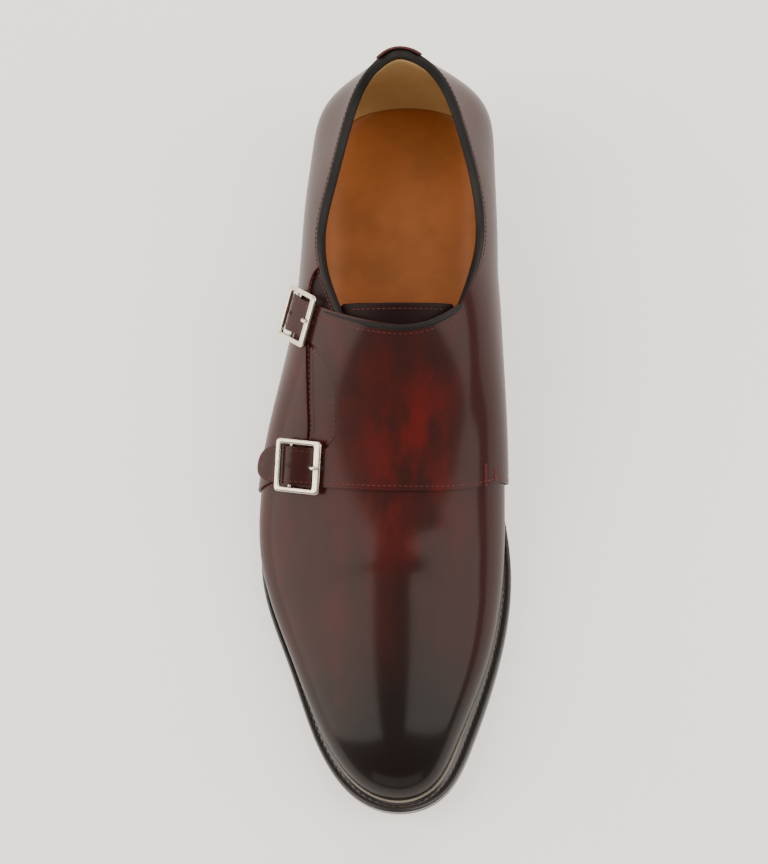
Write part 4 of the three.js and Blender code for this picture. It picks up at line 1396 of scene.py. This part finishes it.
def hole_parts(strap, a):
    """A pressed ring and a dark disc of painted shade, laid on the strap at a distance from the pin."""
    centre = strap_point(strap, np.array(a), np.array(0.0), OVERLAY)
    ahead = unit(strap_point(strap, np.array(a + 0.5), np.array(0.0), OVERLAY) - centre)
    across = unit(strap_point(strap, np.array(a), np.array(0.5), OVERLAY) - centre)
    axes = [list(axis) for axis in (ahead, across, np.cross(ahead, across))]
    if axes[2][2] < 0:
        axes = [axes[1], axes[0], [-c for c in axes[2]]]
    turn = Matrix(axes).transposed().to_4x4()
    spot = Matrix.Translation(Vector(metres(centre)))
    parts = []
    for kind in ("rim", "inside"):
        only_nothing()
        if kind == "rim":
            bpy.ops.mesh.primitive_torus_add(major_radius=HOLE_RADIUS / 1000, minor_radius=0.00022,
                                             major_segments=20, minor_segments=8)
        else:
            bpy.ops.mesh.primitive_cylinder_add(vertices=20, radius=HOLE_RADIUS / 1000, depth=0.00012)
        part = bpy.context.object
        part.data.transform(spot @ turn)
        part.location = (0, 0, 0)
        # the rim takes the cut edge colour; the black rubber disc is painted shade for the hole's inside
        part.data.materials.append(CUT_EDGE_PAINTED_SHADE if kind == "rim" else RUBBER)
        parts.append(part)
    return parts


holes = [part for name, places in HOLES.items() for a in places for part in hole_parts(STRAPS[name], a)]
only(holes[0])
for part in holes:
    part.select_set(True)
bpy.ops.object.join()
holes[0].name = holes[0].data.name = "strap_holes"
done(holes[0], "upper_leather", angle=60)


# %% [markdown]
# ## Stitches
# A seam is a row of short pads of thread. One pad is a small sphere drawn out along the seam. A seam's path
# is a smooth line on the leather, cut into equal lengths, and a pad is set on every length.

# %% Rows of stitches
def along_path(points, pitch):
    """Middles and directions of stitches at a pitch along a line of points."""
    steps = np.linalg.norm(np.diff(points, axis=0), axis=1)
    length = np.concatenate([[0], np.cumsum(steps)])
    count = max(1, int(length[-1] / pitch))
    places = (np.arange(count) + 0.5) * length[-1] / count
    middle, ahead = (np.stack([np.interp(places + shift, length, points[:, c]) for c in range(3)], -1)
                     for shift in (0.0, 0.2))
    return middle, unit(ahead - middle)


def stitched(name, rows, material, slot, pitch, gap, radius):
    """One object with all the stitches of a list of paths in millimetres."""
    only_nothing()
    bpy.ops.mesh.primitive_uv_sphere_add(segments=6, ring_count=5, radius=1)
    piece = bpy.context.object
    pad = np.array([vertex.co[:] for vertex in piece.data.vertices])
    faces = [tuple(polygon.vertices) for polygon in piece.data.polygons]
    middles, heads = (np.concatenate(part) for part in zip(*(along_path(row, pitch) for row in rows)))
    other = unit(np.cross(heads, np.array([0.3, 0.2, 1.0])))
    third = np.cross(other, heads)
    half = (pitch - gap) / 2
    points = (middles[:, None] + heads[:, None] * pad[None, :, 2:] * half
              + other[:, None] * pad[None, :, :1] * radius + third[:, None] * pad[None, :, 1:2] * radius)
    mesh = bpy.data.meshes.new(name)
    all_faces = [tuple(v + k * len(pad) for v in face) for k in range(len(middles)) for face in faces]
    mesh.from_pydata(metres(points).reshape(-1, 3).tolist(), [], all_faces)
    piece.data = mesh
    piece.name = name
    mesh.materials.append(material)
    return done(piece, slot, angle=80)


def inset_line(curve, distance, start=0.0, end=1.0, count=120):
    """Girth and y of a line beside a curve on the foot."""
    t = np.linspace(start, end, count)
    line = curve(t)
    ahead = unit(np.gradient(line, axis=0))
    return line + np.stack([-ahead[:, 1], ahead[:, 0]], -1) * distance


def on_panel(line, lift=OVERLAY_GAP + OVERLAY + 0.02):
    return over_foot(line[:, 0], line[:, 1], lift)


def strap_outline(strap, inset, start):
    """A line round a strap inside its edge: out along the heel side, round the tip and back."""
    r = strap["width"] / 2 - inset
    turn = strap["reach"] - strap["width"] / 2
    out = np.linspace(start, turn, 60)
    tip = np.linspace(0, np.pi, 30)
    a = np.concatenate([out, turn + r * np.sin(tip), out[::-1]])
    b = np.concatenate([0 * out + r, r * np.cos(tip), 0 * out - r])
    return strap_point(strap, a, b, OVERLAY + 0.02)


def medial_seam(inset):
    """The front seam of the medial quarter from the panel down to the welt."""
    r = np.linspace(0.98, 0.06, 60)
    line = medial_place(r, np.full_like(r, inset / 60 * PANEL_CELLS))
    return line


def quarter_line(inset):
    """Beside the front edge of the lateral quarter, from the welt to the corner."""
    line = inset_line(QUARTER_FRONT, -inset, 0.25, 0.93, 160)
    return over_foot(line[:, 0], line[:, 1], QUARTER_THICKNESS + 0.17)


def collar_line(down, start=0.0, end=1.0):
    s = np.linspace(start, end, 300)
    return by_collar(s, np.full_like(s, down), np.full_like(s, 1.27))


def strip_line(edge):
    s = np.linspace(0.02, 0.93, 60)
    return strip_place(s, np.full_like(s, edge))


def tongue_line(inset):
    t = np.linspace(0.12, 0.88, 60)
    return tongue_place(np.full_like(t, 1 - inset / 67), t) + np.array([0, 0, 0.05])


red_rows = [
    on_panel(inset_line(PANEL_BACK, 3.0, 0.02, 0.99)),
    on_panel(inset_line(PANEL_FRONT, -1.8, 0.02, 0.99)),
    on_panel(inset_line(SCALLOP, 1.5, 0.03, 0.97)),
    strap_outline(STRAPS["upper"], 1.5, -STRAP_ROOT),
    strap_outline(STRAPS["lower"], 1.5, -STRAP_ROOT),
    medial_seam(1.8),
    quarter_line(1.6),
    collar_line(2.3, 0.02, 0.975),
    strip_line(0.12), strip_line(0.88),
    tongue_line(2.6),
]
stitched("red_upper_stitching", red_rows, THREAD, "upper_leather", pitch=2.1, gap=0.6, radius=0.18)


# %% Bar tacks at the medial corner, and the welt stitches
def tack(girth, y_from, y_to, side_step):
    """A short bar of close stitches, drawn as two lines side by side."""
    return [on_panel(np.stack([np.full(12, girth + step), np.linspace(y_from, y_to, 12)], -1))
            for step in (-side_step, side_step)]


tacks = tack(37.0, -23.0, -14.3, 0.35) + tack(42.3, -20.0, -15.0, 0.35)
stitched("medial_bar_tacks", tacks, THREAD, "upper_leather", pitch=0.9, gap=0.1, radius=0.3)

around = np.linspace(0.0, 1.0, 600)
around_side, around_u = round_foot(around)
groove = lerp(sole_edge(around_side, around_u), -1.4, 0.40)
welt_line = plan_point(around_side, around_u, groove, welt_top(around_u) - 0.05)
stitched("welt_stitching", [welt_line], DARK_THREAD, "sole_leather", pitch=3.0, gap=0.9, radius=0.32)
